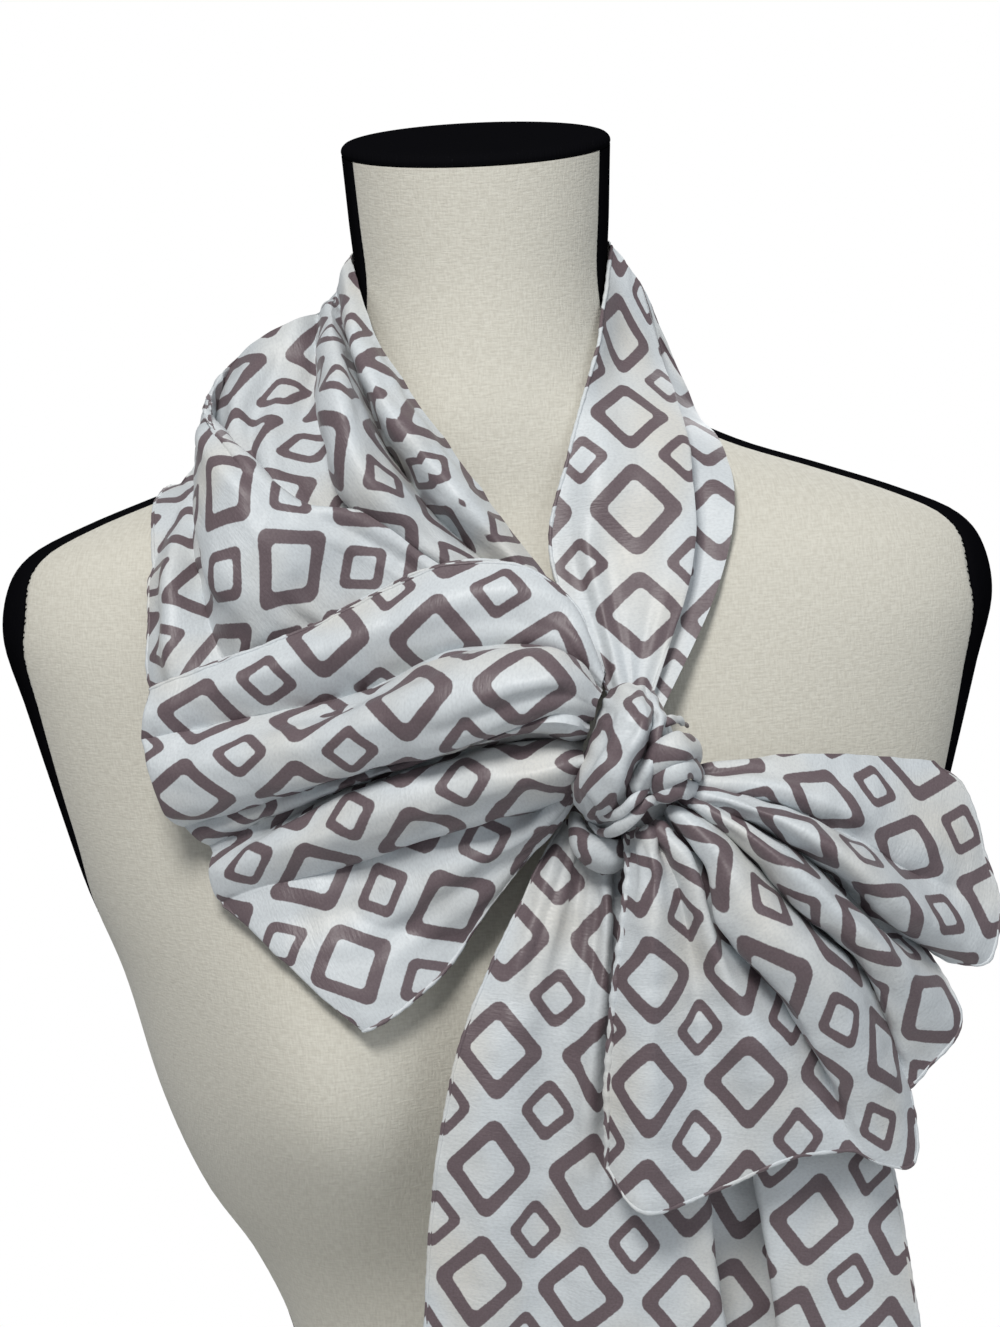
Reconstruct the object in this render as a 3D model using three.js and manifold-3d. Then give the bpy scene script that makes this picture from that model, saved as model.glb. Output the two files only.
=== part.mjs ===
// An oblong scarf tied in a one-loop bow round the neck of a limbless dress form.
// Millimetres, +Z up, the wearer's front towards -Y. The origin is the middle of the form's flat base.
// The scarf is one strip of thin satin. It shows as seven stretches of cloth, each its own solid wall:
// the drape over one shoulder, the nape, the flat band on the other side, the bow's loop, the short
// end fanned out of the knot, the long end hanging behind it, and the wraps of the knot.

import * as THREE from "three";
import Module from "manifold-3d";
import { mergeVertices } from "three/addons/utils/BufferGeometryUtils.js";

const wasm = await Module();
wasm.setup();

// ---------------------------------------------------------------- driving dimensions

const CLOTH_WALL = 1.4; // the satin with its air, as a wall
const WRAP_WALL = 3.2; // the knot's wraps are several layers rolled together
const SEAM_GAP = 0.4; // between neighbouring solids
const SHOULDER_SEAM = -4; // depth at which the stretches round the neck are parted
const FORM_CLEARANCE = 3; // from the form's skin to the middle of a cloth wall

const NECK_TOP = 749; // height of the middle of the neck's top
const NECK_TILT = 0.2; // the top falls this much per millimetre towards the front
const CAP_THICKNESS = 5;
const GUSSET_HALF = 20; // half the width of the black strip that runs up the sides
const ARM_GUSSET_HALF = 38; // and at the armholes

// Sections of the form, from the base up: half the width, and the depth in front and behind.
// square is the power of the section's curve: 2 is an ellipse, more is squarer.
const FORM_SECTIONS = [
  { z: 0, half: 150, front: 92, back: 100, square: 2.3 },
  { z: 45, half: 158, front: 98, back: 106, square: 2.3 },
  { z: 95, half: 160, front: 100, back: 110, square: 2.3 },
  { z: 150, half: 146, front: 95, back: 104, square: 2.3 },
  { z: 205, half: 112, front: 84, back: 86, square: 2.3 },
  { z: 250, half: 91, front: 76, back: 73, square: 2.3 },
  { z: 291, half: 95, front: 78, back: 73, square: 2.3 },
  { z: 326, half: 109, front: 86, back: 79, square: 2.3 },
  { z: 354, half: 126, front: 94, back: 85, square: 2.35 },
  { z: 390, half: 140, front: 100, back: 91, square: 2.4 },
  { z: 437, half: 152, front: 100, back: 95, square: 2.5 },
  { z: 469, half: 164, front: 97, back: 97, square: 2.55 },
  { z: 500, half: 173, front: 93, back: 98, square: 2.6 },
  { z: 540, half: 184, front: 86, back: 96, square: 2.6 },
  { z: 566, half: 191, front: 79, back: 92, square: 2.6 },
  { z: 586, half: 188, front: 72, back: 88, square: 2.5 },
  { z: 598, half: 178, front: 66, back: 84, square: 2.4 },
  { z: 608, half: 156, front: 62, back: 80, square: 2.3 },
  { z: 618, half: 128, front: 60, back: 76, square: 2.2 },
  { z: 629, half: 96, front: 59, back: 72, square: 2.1 },
  { z: 645, half: 66, front: 57, back: 66, square: 2.05 },
  { z: 665, half: 53, front: 53, back: 58, square: 2 },
  { z: 690, half: 48.5, front: 50, back: 52, square: 2 },
  { z: 720, half: 50, front: 50, back: 50, square: 2 },
  { z: NECK_TOP + 20, half: 53, front: 52, back: 52, square: 2 },
];
const BUST = { x: 72, z: 408, wide: 46, below: 58, above: 75, depth: 34 };

// ---------------------------------------------------------------- the form's surface

// A smooth value of one column of the sections at a height.
function formColumn(column, z) {
  const rows = FORM_SECTIONS;
  const last = rows.length - 2;
  let i = 0;
  while (i < last && z > rows[i + 1].z) i += 1;
  const slope = (k) => {
    const a = rows[Math.max(k - 1, 0)];
    const b = rows[Math.min(k + 1, rows.length - 1)];
    return (b[column] - a[column]) / (b.z - a.z);
  };
  const span = rows[i + 1].z - rows[i].z;
  const t = THREE.MathUtils.clamp((z - rows[i].z) / span, 0, 1);
  const t2 = t * t;
  const t3 = t2 * t;
  return (
    (2 * t3 - 3 * t2 + 1) * rows[i][column] +
    (t3 - 2 * t2 + t) * span * slope(i) +
    (3 * t2 - 2 * t3) * rows[i + 1][column] +
    (t3 - t2) * span * slope(i + 1)
  );
}

function bustAt(x, z) {
  const high = z > BUST.z ? BUST.above : BUST.below;
  const fall = Math.exp(-(((z - BUST.z) / high) ** 2));
  const sides = [-BUST.x, BUST.x].map((at) => Math.exp(-(((x - at) / BUST.wide) ** 2)));
  return BUST.depth * fall * (sides[0] + sides[1]);
}

// Over 1 outside the form, under 1 inside, and 1 on its skin.
function formLevel(p) {
  const square = formColumn("square", p.z);
  const ahead = p.y < 0;
  const reach = ahead ? Math.max(0, -p.y - bustAt(p.x, p.z)) : p.y;
  const depth = reach / formColumn(ahead ? "front" : "back", p.z);
  const across = Math.abs(p.x) / formColumn("half", p.z);
  return (across ** square + depth ** square) ** (1 / square);
}

function formSlope(p) {
  const step = 0.5;
  const along = (axis) => {
    const more = p.clone().addScaledVector(axis, step);
    const less = p.clone().addScaledVector(axis, -step);
    return (formLevel(more) - formLevel(less)) / (2 * step);
  };
  return new THREE.Vector3(
    along(new THREE.Vector3(1, 0, 0)),
    along(new THREE.Vector3(0, 1, 0)),
    along(new THREE.Vector3(0, 0, 1)),
  );
}

// Moves a cloth point out until it is clear of the form's skin.
function clearOfForm(p, clearance = FORM_CLEARANCE) {
  for (let turn = 0; turn < 8; turn += 1) {
    const slope = formSlope(p);
    const away = (formLevel(p) - 1) / Math.max(slope.length(), 1e-4);
    if (away >= clearance) break;
    p.addScaledVector(slope.normalize(), Math.min(clearance - away, 12));
  }
  return p;
}

// ---------------------------------------------------------------- solids from surfaces

const vector = ([x, y, z]) => new THREE.Vector3(x, y, z);

// A smooth curve through points; t runs from 0 to 1 and may go a little past either end.
function curveThrough(points) {
  const last = points.length - 1;
  const ends = [points[0].clone().multiplyScalar(2).sub(points[1])];
  const stops = [...ends, ...points, points[last].clone().multiplyScalar(2).sub(points[last - 1])];
  return (t) => {
    const i = THREE.MathUtils.clamp(Math.floor(t * last), 0, last - 1);
    const u = t * last - i;
    const weights = [
      (-u + 2 * u * u - u ** 3) / 2,
      (2 - 5 * u * u + 3 * u ** 3) / 2,
      (u + 4 * u * u - 3 * u ** 3) / 2,
      (-u * u + u ** 3) / 2,
    ];
    return weights.reduce((sum, w, k) => sum.addScaledVector(stops[i + k], w), new THREE.Vector3());
  };
}

const ramp = (count) => Array.from({ length: count + 1 }, (_, i) => i / count);

function manifoldOf(positions, indices) {
  const geometry = new THREE.BufferGeometry();
  geometry.setAttribute("position", new THREE.Float32BufferAttribute(positions, 3));
  geometry.setIndex(indices);
  const merged = mergeVertices(geometry, 1e-4);
  return new wasm.Manifold(
    new wasm.Mesh({
      numProp: 3,
      vertProperties: merged.attributes.position.array,
      triVerts: new Uint32Array(merged.index.array),
    }),
  );
}

// A closed wall on both sides of surface(s, t), where s runs along the cloth and t across it.
// swell makes it that much bigger all round, edges too.
function clothWall(surface, along, across, wall, swell = 0) {
  const stride = across + 1;
  const grid = ramp(along).flatMap((s) => ramp(across).map((t) => surface(s, t)));
  const spread = (edge, inside) => {
    const out = grid[edge].clone().sub(grid[inside]).normalize();
    grid[edge].addScaledVector(out, swell);
  };
  for (let i = 0; i <= along; i += 1) {
    spread(i * stride, i * stride + 1);
    spread(i * stride + across, i * stride + across - 1);
  }
  for (let j = 0; j <= across; j += 1) {
    spread(j, j + stride);
    spread(along * stride + j, (along - 1) * stride + j);
  }
  const half = wall / 2 + swell;
  const at = (i, j) =>
    grid[THREE.MathUtils.clamp(i, 0, along) * stride + THREE.MathUtils.clamp(j, 0, across)];
  const sides = [[], []];
  for (let i = 0; i <= along; i += 1)
    for (let j = 0; j <= across; j += 1) {
      const down = at(i + 1, j).clone().sub(at(i - 1, j));
      const over = at(i, j + 1).clone().sub(at(i, j - 1));
      const normal = down.cross(over).normalize();
      sides[0].push(at(i, j).clone().addScaledVector(normal, half));
      sides[1].push(at(i, j).clone().addScaledVector(normal, -half));
    }
  const count = grid.length;
  const indices = [];
  const quad = (a, b, c, d) => indices.push(a, b, c, a, c, d);
  for (let i = 0; i < along; i += 1)
    for (let j = 0; j < across; j += 1) {
      const a = i * stride + j;
      quad(a, a + stride, a + stride + 1, a + 1);
      quad(count + a, count + a + 1, count + a + stride + 1, count + a + stride);
    }
  for (let i = 0; i < along; i += 1) {
    const a = i * stride;
    const b = a + across;
    quad(a, count + a, count + a + stride, a + stride);
    quad(b, b + stride, count + b + stride, count + b);
  }
  for (let j = 0; j < across; j += 1) {
    const b = along * stride + j;
    quad(j, j + 1, count + j + 1, count + j);
    quad(b, count + b, count + b + 1, b + 1);
  }
  return manifoldOf([...sides[0], ...sides[1]].flatMap((p) => p.toArray()), indices);
}

// The biggest body of a solid, so that a sliver cut off by a neighbour is dropped.
function biggest(solid) {
  return solid.decompose().sort((a, b) => b.volume() - a.volume())[0];
}

function meshOf(name, solid, material) {
  const made = solid.getMesh();
  const geometry = new THREE.BufferGeometry();
  geometry.setAttribute("position", new THREE.BufferAttribute(new Float32Array(made.vertProperties), 3));
  geometry.setIndex(new THREE.BufferAttribute(new Uint32Array(made.triVerts), 1));
  geometry.computeVertexNormals();
  const mesh = new THREE.Mesh(geometry, material);
  mesh.name = name;
  return mesh;
}

// ---------------------------------------------------------------- the dress form

const FORM_RINGS = [0, 45, 95, 150, 190, 225, 250, 275, 305, 330, 354, 378, 400, 420, 445, 470, 500, 530, 554, 570,
  582, 591, 598, 605, 612, 619, 628, 640, 654, 675, 705, NECK_TOP + 20];
const FORM_SPOKES = 40;

function formSkin(z, turn) {
  const round = 2 / formColumn("square", z);
  const c = Math.cos(turn);
  const s = Math.sin(turn);
  const x = formColumn("half", z) * Math.sign(c) * Math.abs(c) ** round;
  const depth = formColumn(s < 0 ? "front" : "back", z) * Math.abs(s) ** round;
  return new THREE.Vector3(x, s < 0 ? -depth - bustAt(x, z) * Math.min(1, -s * 3) : depth, z);
}

function formSolid() {
  const positions = [];
  const indices = [];
  FORM_RINGS.forEach((z) => {
    for (let k = 0; k < FORM_SPOKES; k += 1)
      positions.push(...formSkin(z, (k / FORM_SPOKES) * 2 * Math.PI).toArray());
  });
  const rings = FORM_RINGS.length;
  for (let i = 0; i + 1 < rings; i += 1)
    for (let k = 0; k < FORM_SPOKES; k += 1) {
      const a = i * FORM_SPOKES + k;
      const b = i * FORM_SPOKES + ((k + 1) % FORM_SPOKES);
      indices.push(a, b, b + FORM_SPOKES, a, b + FORM_SPOKES, a + FORM_SPOKES);
    }
  const foot = positions.length / 3;
  positions.push(0, 0, FORM_RINGS[0], 0, 0, FORM_RINGS[rings - 1]);
  for (let k = 0; k < FORM_SPOKES; k += 1) {
    const next = (k + 1) % FORM_SPOKES;
    const top = (rings - 1) * FORM_SPOKES;
    indices.push(foot, next, k, foot + 1, top + k, top + next);
  }
  return manifoldOf(positions, indices);
}

// A box as wide as the form whose faces lie across the depth at any tilt or outline in the side view.
function sideViewBlock(outline) {
  const wide = 460;
  const shape = new THREE.Shape(outline.map(([y, z]) => new THREE.Vector2(y, z)));
  const block = new THREE.ExtrudeGeometry(shape, { depth: wide, bevelEnabled: false });
  const turned = new THREE.Matrix4().makeBasis(
    new THREE.Vector3(0, 1, 0),
    new THREE.Vector3(0, 0, 1),
    new THREE.Vector3(1, 0, 0),
  );
  block.applyMatrix4(turned).translate(-wide / 2, 0, 0);
  const bare = mergeVertices(
    new THREE.BufferGeometry().setAttribute("position", block.getAttribute("position")),
    1e-4,
  );
  return manifoldOf(Array.from(bare.attributes.position.array), Array.from(bare.index.array));
}

// The black strip's edge in the side view, from the base to above the neck: wider at the armholes.
function gussetEdge(extra) {
  const narrow = GUSSET_HALF + extra;
  const wide = ARM_GUSSET_HALF + extra;
  return [[narrow, -10], [narrow, 440], [wide, 492], [wide, 570], [narrow, 612], [narrow, NECK_TOP + 60]];
}

function gussetBlock(extra) {
  const edge = gussetEdge(extra);
  const mirrored = edge.map(([y, z]) => [-y, z]).reverse();
  return sideViewBlock([...mirrored, ...edge]);
}

function topBlock(height) {
  const reach = 120;
  const at = (y) => height + NECK_TILT * y;
  return sideViewBlock([[-reach, at(-reach)], [reach, at(reach)], [reach, 1000], [-reach, 1000]]);
}

function dressForm() {
  const whole = formSolid();
  const trunk = whole.subtract(topBlock(NECK_TOP - CAP_THICKNESS));
  const cap = whole
    .intersect(topBlock(NECK_TOP - CAP_THICKNESS + SEAM_GAP))
    .subtract(topBlock(NECK_TOP));
  const outside = trunk.subtract(gussetBlock(SEAM_GAP / 2));
  const halves = outside.decompose().sort((a, b) => a.boundingBox().min[1] - b.boundingBox().min[1]);
  return {
    front: halves[0],
    back: halves[1],
    gusset: trunk.intersect(gussetBlock(-SEAM_GAP / 2)),
    cap,
  };
}

// ---------------------------------------------------------------- surfaces through folds

// Each table below has a row for each fold of a stretch of cloth, in order across the cloth, and a
// column for each place along it. A surface runs s along the columns and t across the rows.
function foldedSurface(rows, columns) {
  const folds = rows.map((row) => curveThrough(columns.map((column) => vector(row[column]))));
  const sections = new Map();
  return (s, t) => {
    if (!sections.has(s)) sections.set(s, curveThrough(folds.map((fold) => fold(s))));
    return clearOfForm(sections.get(s)(t));
  };
}

// ---------------------------------------------------------------- the cloth round the neck

// The drape falls from one shoulder to the knot in deep folds, from the roll beside the neck out.
const DRAPE_FOLDS = [
  { name: "inner_edge", knot: [37, -101, 553], breast: [9, -74, 599], chest: [-18, -61, 639],
    collar: [-42, -35, 675], shoulder: [-49, -4, 705] },
  { name: "neck_roll", knot: [36, -104, 550], breast: [4, -81, 598], chest: [-25, -69, 641],
    collar: [-46, -40, 671], shoulder: [-53, -6, 701] },
  { name: "neck_hollow", knot: [35, -101, 547], breast: [-6, -72, 592], chest: [-37, -57, 631],
    collar: [-51, -22, 662], shoulder: [-55, -2, 692] },
  { name: "middle_roll", knot: [34, -105, 545], breast: [-17, -84, 592], chest: [-46, -75, 627],
    collar: [-57, -26, 664], shoulder: [-59, -8, 689] },
  { name: "middle_hollow", knot: [33, -101, 543], breast: [-28, -76, 585], chest: [-58, -57, 620],
    collar: [-66, -12, 655], shoulder: [-63, -2, 683] },
  { name: "slope", knot: [32, -104, 541], breast: [-40, -83, 579], chest: [-69, -62, 618],
    collar: [-80, -22, 655], shoulder: [-74, -8, 681] },
  { name: "belly_hollow", knot: [31, -101, 539], breast: [-49, -80, 574], chest: [-79, -62, 610],
    collar: [-93, -22, 641], shoulder: [-88, -2, 673] },
  { name: "belly_brow", knot: [30, -105, 537], breast: [-56, -95, 571], chest: [-86, -79, 609],
    collar: [-103, -28, 639], shoulder: [-100, -8, 664] },
  { name: "belly", knot: [29, -106, 535], breast: [-64, -100, 559], chest: [-98, -92, 590],
    collar: [-109, -50, 620], shoulder: [-109, -8, 647] },
  { name: "side_hollow", knot: [28, -102, 533], breast: [-72, -93, 543], chest: [-103, -82, 571],
    collar: [-109, -54, 605], shoulder: [-112, -3, 630] },
  { name: "side_roll", knot: [28, -103, 531], breast: [-84, -95, 533], chest: [-117, -85, 565],
    collar: [-119, -58, 600], shoulder: [-117, -5, 625] },
  { name: "outer_edge", knot: [27, -100, 529], breast: [-96, -86, 526], chest: [-127, -74, 559],
    collar: [-127, -56, 592], shoulder: [-123, -1, 619] },
];

// On the other side the cloth lies flat, with its outer margin folded under.
const BAND_FOLDS = [
  { name: "inner_edge", knot: [38, -103, 543], breast: [20, -76, 591], chest: [29, -61, 630],
    collar: [42, -36, 669], shoulder: [50, -4, 705] },
  { name: "middle", knot: [44, -106, 541], breast: [41, -80, 590], chest: [44, -64, 629],
    collar: [53, -20, 668], shoulder: [55, -6, 698] },
  { name: "fold", knot: [52, -105, 539], breast: [71, -79, 588], chest: [73, -56, 628],
    collar: [67, -12, 662], shoulder: [60, -6, 691] },
  { name: "under_fold", knot: [52, -101, 538], breast: [68, -72, 587], chest: [71, -50, 622],
    collar: [69, -5, 655], shoulder: [63, -3, 685] },
  { name: "outer_edge", knot: [56, -102, 536], breast: [81, -75, 580], chest: [89, -54, 615],
    collar: [80, -5, 641], shoulder: [67, -1, 675] },
];

// Sections of the stretch round the back of the neck, with small even folds.
const NAPE_SECTIONS = [
  { name: "blade", inner: [-38, 44, 711], outer: [-88, 64, 622], bulge: 8 },
  { name: "spine", inner: [0, 58, 712], outer: [-4, 80, 630], bulge: 6 },
  { name: "blade_right", inner: [38, 44, 711], outer: [58, 62, 647], bulge: 5 },
];
const NAPE_FOLDS = 4;
const NAPE_FOLD_HEIGHT = 3;

const ROUND_NECK = ["knot", "breast", "chest", "collar", "shoulder"];
const drapeCloth = foldedSurface(DRAPE_FOLDS, ROUND_NECK);
const bandCloth = foldedSurface(BAND_FOLDS, ROUND_NECK);

function napeCloth(s, t) {
  const sections = NAPE_SECTIONS.map(({ inner, outer, bulge }) => {
    const p = vector(inner).lerp(vector(outer), t);
    const fold = NAPE_FOLD_HEIGHT * Math.sin(2 * Math.PI * (NAPE_FOLDS * t + 0.1));
    return p.addScaledVector(formSlope(p).normalize(), bulge * Math.sin(Math.PI * t) + fold);
  });
  const stops = [drapeCloth(0.87, t), drapeCloth(1, t), ...sections, bandCloth(1, t), bandCloth(0.87, t)];
  return clearOfForm(curveThrough(stops)((1 + 4 * s) / 6));
}

// ---------------------------------------------------------------- cloth that fans out of the knot

const LOOP_FOLDS = [
  { name: "top_edge", root: [38, -126, 553], near: [9, -116, 594], far: [-59, -107, 575], tip: [-124, -102, 553] },
  { name: "upper_swell", root: [37, -130, 550], near: [9, -129, 580], far: [-59, -121, 561], tip: [-126, -109, 542] },
  { name: "upper_hollow", root: [36, -125, 546], near: [0, -121, 563], far: [-66, -115, 544], tip: [-127, -112, 530] },
  { name: "roll", root: [33, -140, 542], near: [-3, -142, 551], far: [-60, -127, 533], tip: [-125, -114, 517] },
  { name: "roll_under", root: [30, -133, 536], near: [-6, -132, 533], far: [-61, -118, 518], tip: [-119, -108, 503] },
  { name: "crease", root: [29, -125, 530], near: [-19, -118, 525], far: [-65, -108, 509], tip: [-107, -99, 492] },
  { name: "lower_roll", root: [27, -135, 524], near: [-19, -134, 516], far: [-62, -122, 501], tip: [-103, -109, 486] },
  { name: "lower_hollow", root: [26, -126, 519], near: [-20, -122, 503], far: [-63, -116, 484], tip: [-94, -108, 471] },
  { name: "belly", root: [25, -129, 515], near: [-10, -126, 489], far: [-46, -119, 468], tip: [-79, -112, 457] },
  { name: "lower_swell", root: [24, -127, 511], near: [-4, -123, 482], far: [-29, -119, 459], tip: [-65, -113, 441] },
  { name: "bottom_edge", root: [23, -121, 508], near: [0, -117, 475], far: [-21, -115, 452], tip: [-58, -114, 428] },
];
const LOOP_PUFF = 14; // depth between the loop's two layers

const FAN_FOLDS = [
  { name: "selvage", root: [44, -132, 502], via: [37, -145, 464], tip: [28, -150, 387] },
  { name: "first_swell", root: [47, -138, 503], via: [48, -156, 459], tip: [44, -159, 371] },
  { name: "first_slope", root: [50, -136, 504], via: [61, -149, 461], tip: [61, -150, 376] },
  { name: "first_hollow", root: [52, -131, 504], via: [72, -139, 467], tip: [82, -141, 386] },
  { name: "ridge", root: [55, -139, 506], via: [79, -155, 473], tip: [101, -150, 390] },
  { name: "second_hollow", root: [57, -131, 507], via: [90, -140, 472], tip: [119, -137, 381] },
  { name: "corner_swell", root: [59, -141, 510], via: [96, -155, 479], tip: [137, -138, 383] },
  { name: "third_hollow", root: [61, -132, 510], via: [102, -139, 481], tip: [137, -123, 404] },
  { name: "side_swell", root: [62, -141, 512], via: [107, -153, 487], tip: [155, -126, 424] },
  { name: "tuck", root: [64, -132, 512], via: [109, -137, 492], tip: [147, -112, 452] },
  { name: "outer_roll", root: [65, -142, 515], via: [112, -150, 498], tip: [171, -116, 446] },
  { name: "upper_slope", root: [66, -133, 518], via: [111, -135, 509], tip: [174, -105, 470] },
  { name: "top_edge", root: [66, -128, 521], via: [103, -126, 525], tip: [160, -98, 512] },
];

const LONG_END_FOLDS = [
  { name: "selvage", root: [20, -109, 501], via: [-22, -133, 422], tip: [-38, -135, 318], end: [-38, -134, 214] },
  { name: "left_swell", root: [25, -113, 501], via: [-6, -138, 421], tip: [-17, -140, 318], end: [-16, -139, 212] },
  { name: "left_hollow", root: [29, -111, 501], via: [10, -134, 420], tip: [4, -135, 318], end: [6, -134, 211] },
  { name: "middle_swell", root: [34, -114, 501], via: [28, -138, 419], tip: [28, -141, 318], end: [29, -140, 210] },
  { name: "panel_edge", root: [39, -115, 502], via: [55, -136, 418], tip: [66, -139, 318], end: [68, -138, 210] },
  { name: "pleat_left", root: [43, -109, 502], via: [58, -127, 417], tip: [62, -122, 318], end: [63, -121, 211] },
  { name: "pleat_right", root: [46, -109, 503], via: [76, -126, 416], tip: [90, -118, 318], end: [92, -117, 212] },
  { name: "second_edge", root: [49, -115, 504], via: [74, -134, 416], tip: [88, -131, 318], end: [90, -130, 213] },
  { name: "right_swell", root: [52, -115, 504], via: [95, -129, 414], tip: [113, -129, 318], end: [117, -128, 215] },
  { name: "far_selvage", root: [55, -111, 505], via: [118, -120, 412], tip: [138, -117, 318], end: [143, -116, 216] },
];

const LOOP_FRONT = foldedSurface(LOOP_FOLDS, ["root", "near", "far", "tip"]);

// The loop: out from the knot along its folds, round the far end, and back behind the front layer.
function loopCloth(s, t) {
  const behind = (1 - Math.cos(Math.PI * s)) / 2;
  const p = LOOP_FRONT(Math.sin(Math.PI * s), t);
  p.y += LOOP_PUFF * behind;
  return clearOfForm(p, 2 * FORM_CLEARANCE);
}

// ---------------------------------------------------------------- the knot

const KNOT_CENTRE = vector([45, -125, 522]);
const KNOT_RADII = vector([16, 17.5, 20]);

function knotCore(extra) {
  const core = new THREE.SphereGeometry(1, 16, 10);
  core.scale(KNOT_RADII.x + extra, KNOT_RADII.y + extra, KNOT_RADII.z + extra);
  core.translate(KNOT_CENTRE.x, KNOT_CENTRE.y, KNOT_CENTRE.z);
  core.deleteAttribute("normal");
  core.deleteAttribute("uv");
  const merged = mergeVertices(core, 1e-4);
  return manifoldOf(Array.from(merged.attributes.position.array), Array.from(merged.index.array));
}

// The wraps that pass over the knot: the point each bends round, places along its middle, half its
// width at each place, and how far its middle stands proud of its edges.
const KNOT_WRAPS = [
  { name: "knot_wrap", round: [45, -125, 522], half: [8, 11, 12, 9, 6], crown: 4,
    path: [[48, -112, 543], [46, -132, 546], [39, -146, 529], [32, -141, 510], [35, -121, 498]] },
  { name: "knot_roll_lower", round: [48, -125, 518], half: [3, 5, 6, 5, 4], crown: 3,
    path: [[44, -129, 504], [50, -142, 512], [58, -145, 516], [66, -136, 518], [64, -119, 520]] },
  { name: "knot_roll_upper", round: [48, -125, 522], half: [3, 5, 6, 6, 5], crown: 3,
    path: [[45, -128, 514], [50, -142, 522], [57, -147, 528], [65, -137, 532], [62, -119, 534]] },
  { name: "knot_tuck", round: [38, -104, 508], half: [5, 8, 8, 7, 5], crown: 3,
    path: [[24, -114, 509], [27, -123, 499], [36, -129, 493], [44, -127, 496], [48, -118, 503]] },
];

function wrapSurface({ round, path, half, crown }) {
  const centre = vector(round);
  const middle = curveThrough(path.map(vector));
  const width = curveThrough(half.map((value) => vector([value, 0, 0])));
  return (s, t) => {
    const p = middle(s);
    const way = middle(s + 0.01).sub(middle(s - 0.01)).normalize();
    const out = p.clone().sub(centre);
    out.addScaledVector(way, -out.dot(way)).normalize();
    const side = way.clone().cross(out);
    const across = 2 * t - 1;
    p.addScaledVector(side, width(s).x * across);
    return p.addScaledVector(out, crown * (1 - across * across) - crown / 2);
  };
}

// ---------------------------------------------------------------- the parts

const SATIN = new THREE.MeshStandardMaterial({ name: "satin", color: 0xd9dcdb, roughness: 0.42, metalness: 0 });
const LINEN = new THREE.MeshStandardMaterial({ name: "linen", color: 0xcfc8b6, roughness: 0.9, metalness: 0 });
const JERSEY = new THREE.MeshStandardMaterial({ name: "jersey", color: 0x17171a, roughness: 0.95, metalness: 0 });

// Cloth in the order in which it is laid: a later stretch gives way to the ones before it.
const CLOTH = [
  ...KNOT_WRAPS.map((wrap) => ({
    name: wrap.name,
    surface: wrapSurface(wrap),
    along: 12,
    across: 5,
    wall: WRAP_WALL,
  })),
  { name: "fan_end", surface: foldedSurface(FAN_FOLDS, ["root", "via", "tip"]), along: 9, across: 24 },
  { name: "bow_loop", surface: loopCloth, along: 20, across: 22 },
  { name: "long_end", surface: foldedSurface(LONG_END_FOLDS, ["root", "via", "tip", "end"]), along: 9, across: 18 },
  { name: "shoulder_drape", surface: (s, t) => drapeCloth(s * 1.03, t), along: 13, across: 26, side: -1 },
  { name: "flat_band", surface: (s, t) => bandCloth(s * 1.03, t), along: 12, across: 10, side: -1 },
  { name: "nape_stretch", surface: (s, t) => napeCloth(1.04 * s - 0.02, t), along: 12, across: 22, side: 1 },
];

// The cloth round the neck is parted at the shoulders: side is -1 for a stretch in front, 1 behind.
function parted(solid, side, swell) {
  if (!side) return solid;
  return solid.trimByPlane([0, side, 0], side * SHOULDER_SEAM + SEAM_GAP / 2 - swell);
}

const object = new THREE.Group();
const form = dressForm();
object.add(
  meshOf("form_front", form.front, LINEN),
  meshOf("form_back", form.back, LINEN),
  meshOf("form_gusset", form.gusset, JERSEY),
  meshOf("neck_cap", form.cap, JERSEY),
  meshOf("knot_core", knotCore(0), SATIN),
);

let laid = knotCore(SEAM_GAP);
for (const { name, surface, along, across, wall = CLOTH_WALL, side = 0 } of CLOTH) {
  const whole = parted(clothWall(surface, along, across, wall), side, 0);
  const cut = biggest(whole.subtract(laid));
  object.add(meshOf(name, cut, SATIN));
  laid = laid.add(parted(clothWall(surface, along, across, wall, SEAM_GAP), side, SEAM_GAP));
}

export default object;
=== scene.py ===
# %% [markdown]
# # An oblong scarf tied round a dress form
# The scarf is one long strip of thin crepe satin, printed all over with hollow rounded squares and hemmed
# with a narrow roll. It goes round the neck of a limbless dress form and is tied at the chest in a bow with
# one loop; the short end fans out of the knot and the long end hangs behind it.
# A cloth like this could be dropped on the form by simulation, but a tied bow is all deliberate folds. So
# each stretch is drawn as a table: a row for each fold across the cloth and a column for each place along
# it, in millimetres. Smooth curves through the table give the surface, creases are pressed into it one by
# one, and a thin wall on both sides makes it cloth.

import math

import bpy
import numpy as np
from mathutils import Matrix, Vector


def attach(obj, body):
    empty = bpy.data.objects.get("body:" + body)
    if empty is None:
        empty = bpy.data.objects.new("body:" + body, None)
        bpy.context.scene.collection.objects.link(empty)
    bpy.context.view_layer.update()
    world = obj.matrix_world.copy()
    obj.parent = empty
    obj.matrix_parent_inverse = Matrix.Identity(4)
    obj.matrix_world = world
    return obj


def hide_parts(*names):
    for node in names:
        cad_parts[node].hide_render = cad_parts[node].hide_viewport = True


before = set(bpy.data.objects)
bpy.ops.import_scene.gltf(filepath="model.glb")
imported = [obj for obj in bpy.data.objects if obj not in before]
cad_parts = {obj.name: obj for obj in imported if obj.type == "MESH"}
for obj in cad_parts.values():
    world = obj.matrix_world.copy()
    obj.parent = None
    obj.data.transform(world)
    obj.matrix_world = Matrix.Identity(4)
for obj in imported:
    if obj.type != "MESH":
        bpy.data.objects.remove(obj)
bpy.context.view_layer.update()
MM = 0.001  # the tables are in millimetres, the scene in metres
print("CAD nodes:", ", ".join(sorted(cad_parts)))

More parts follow.
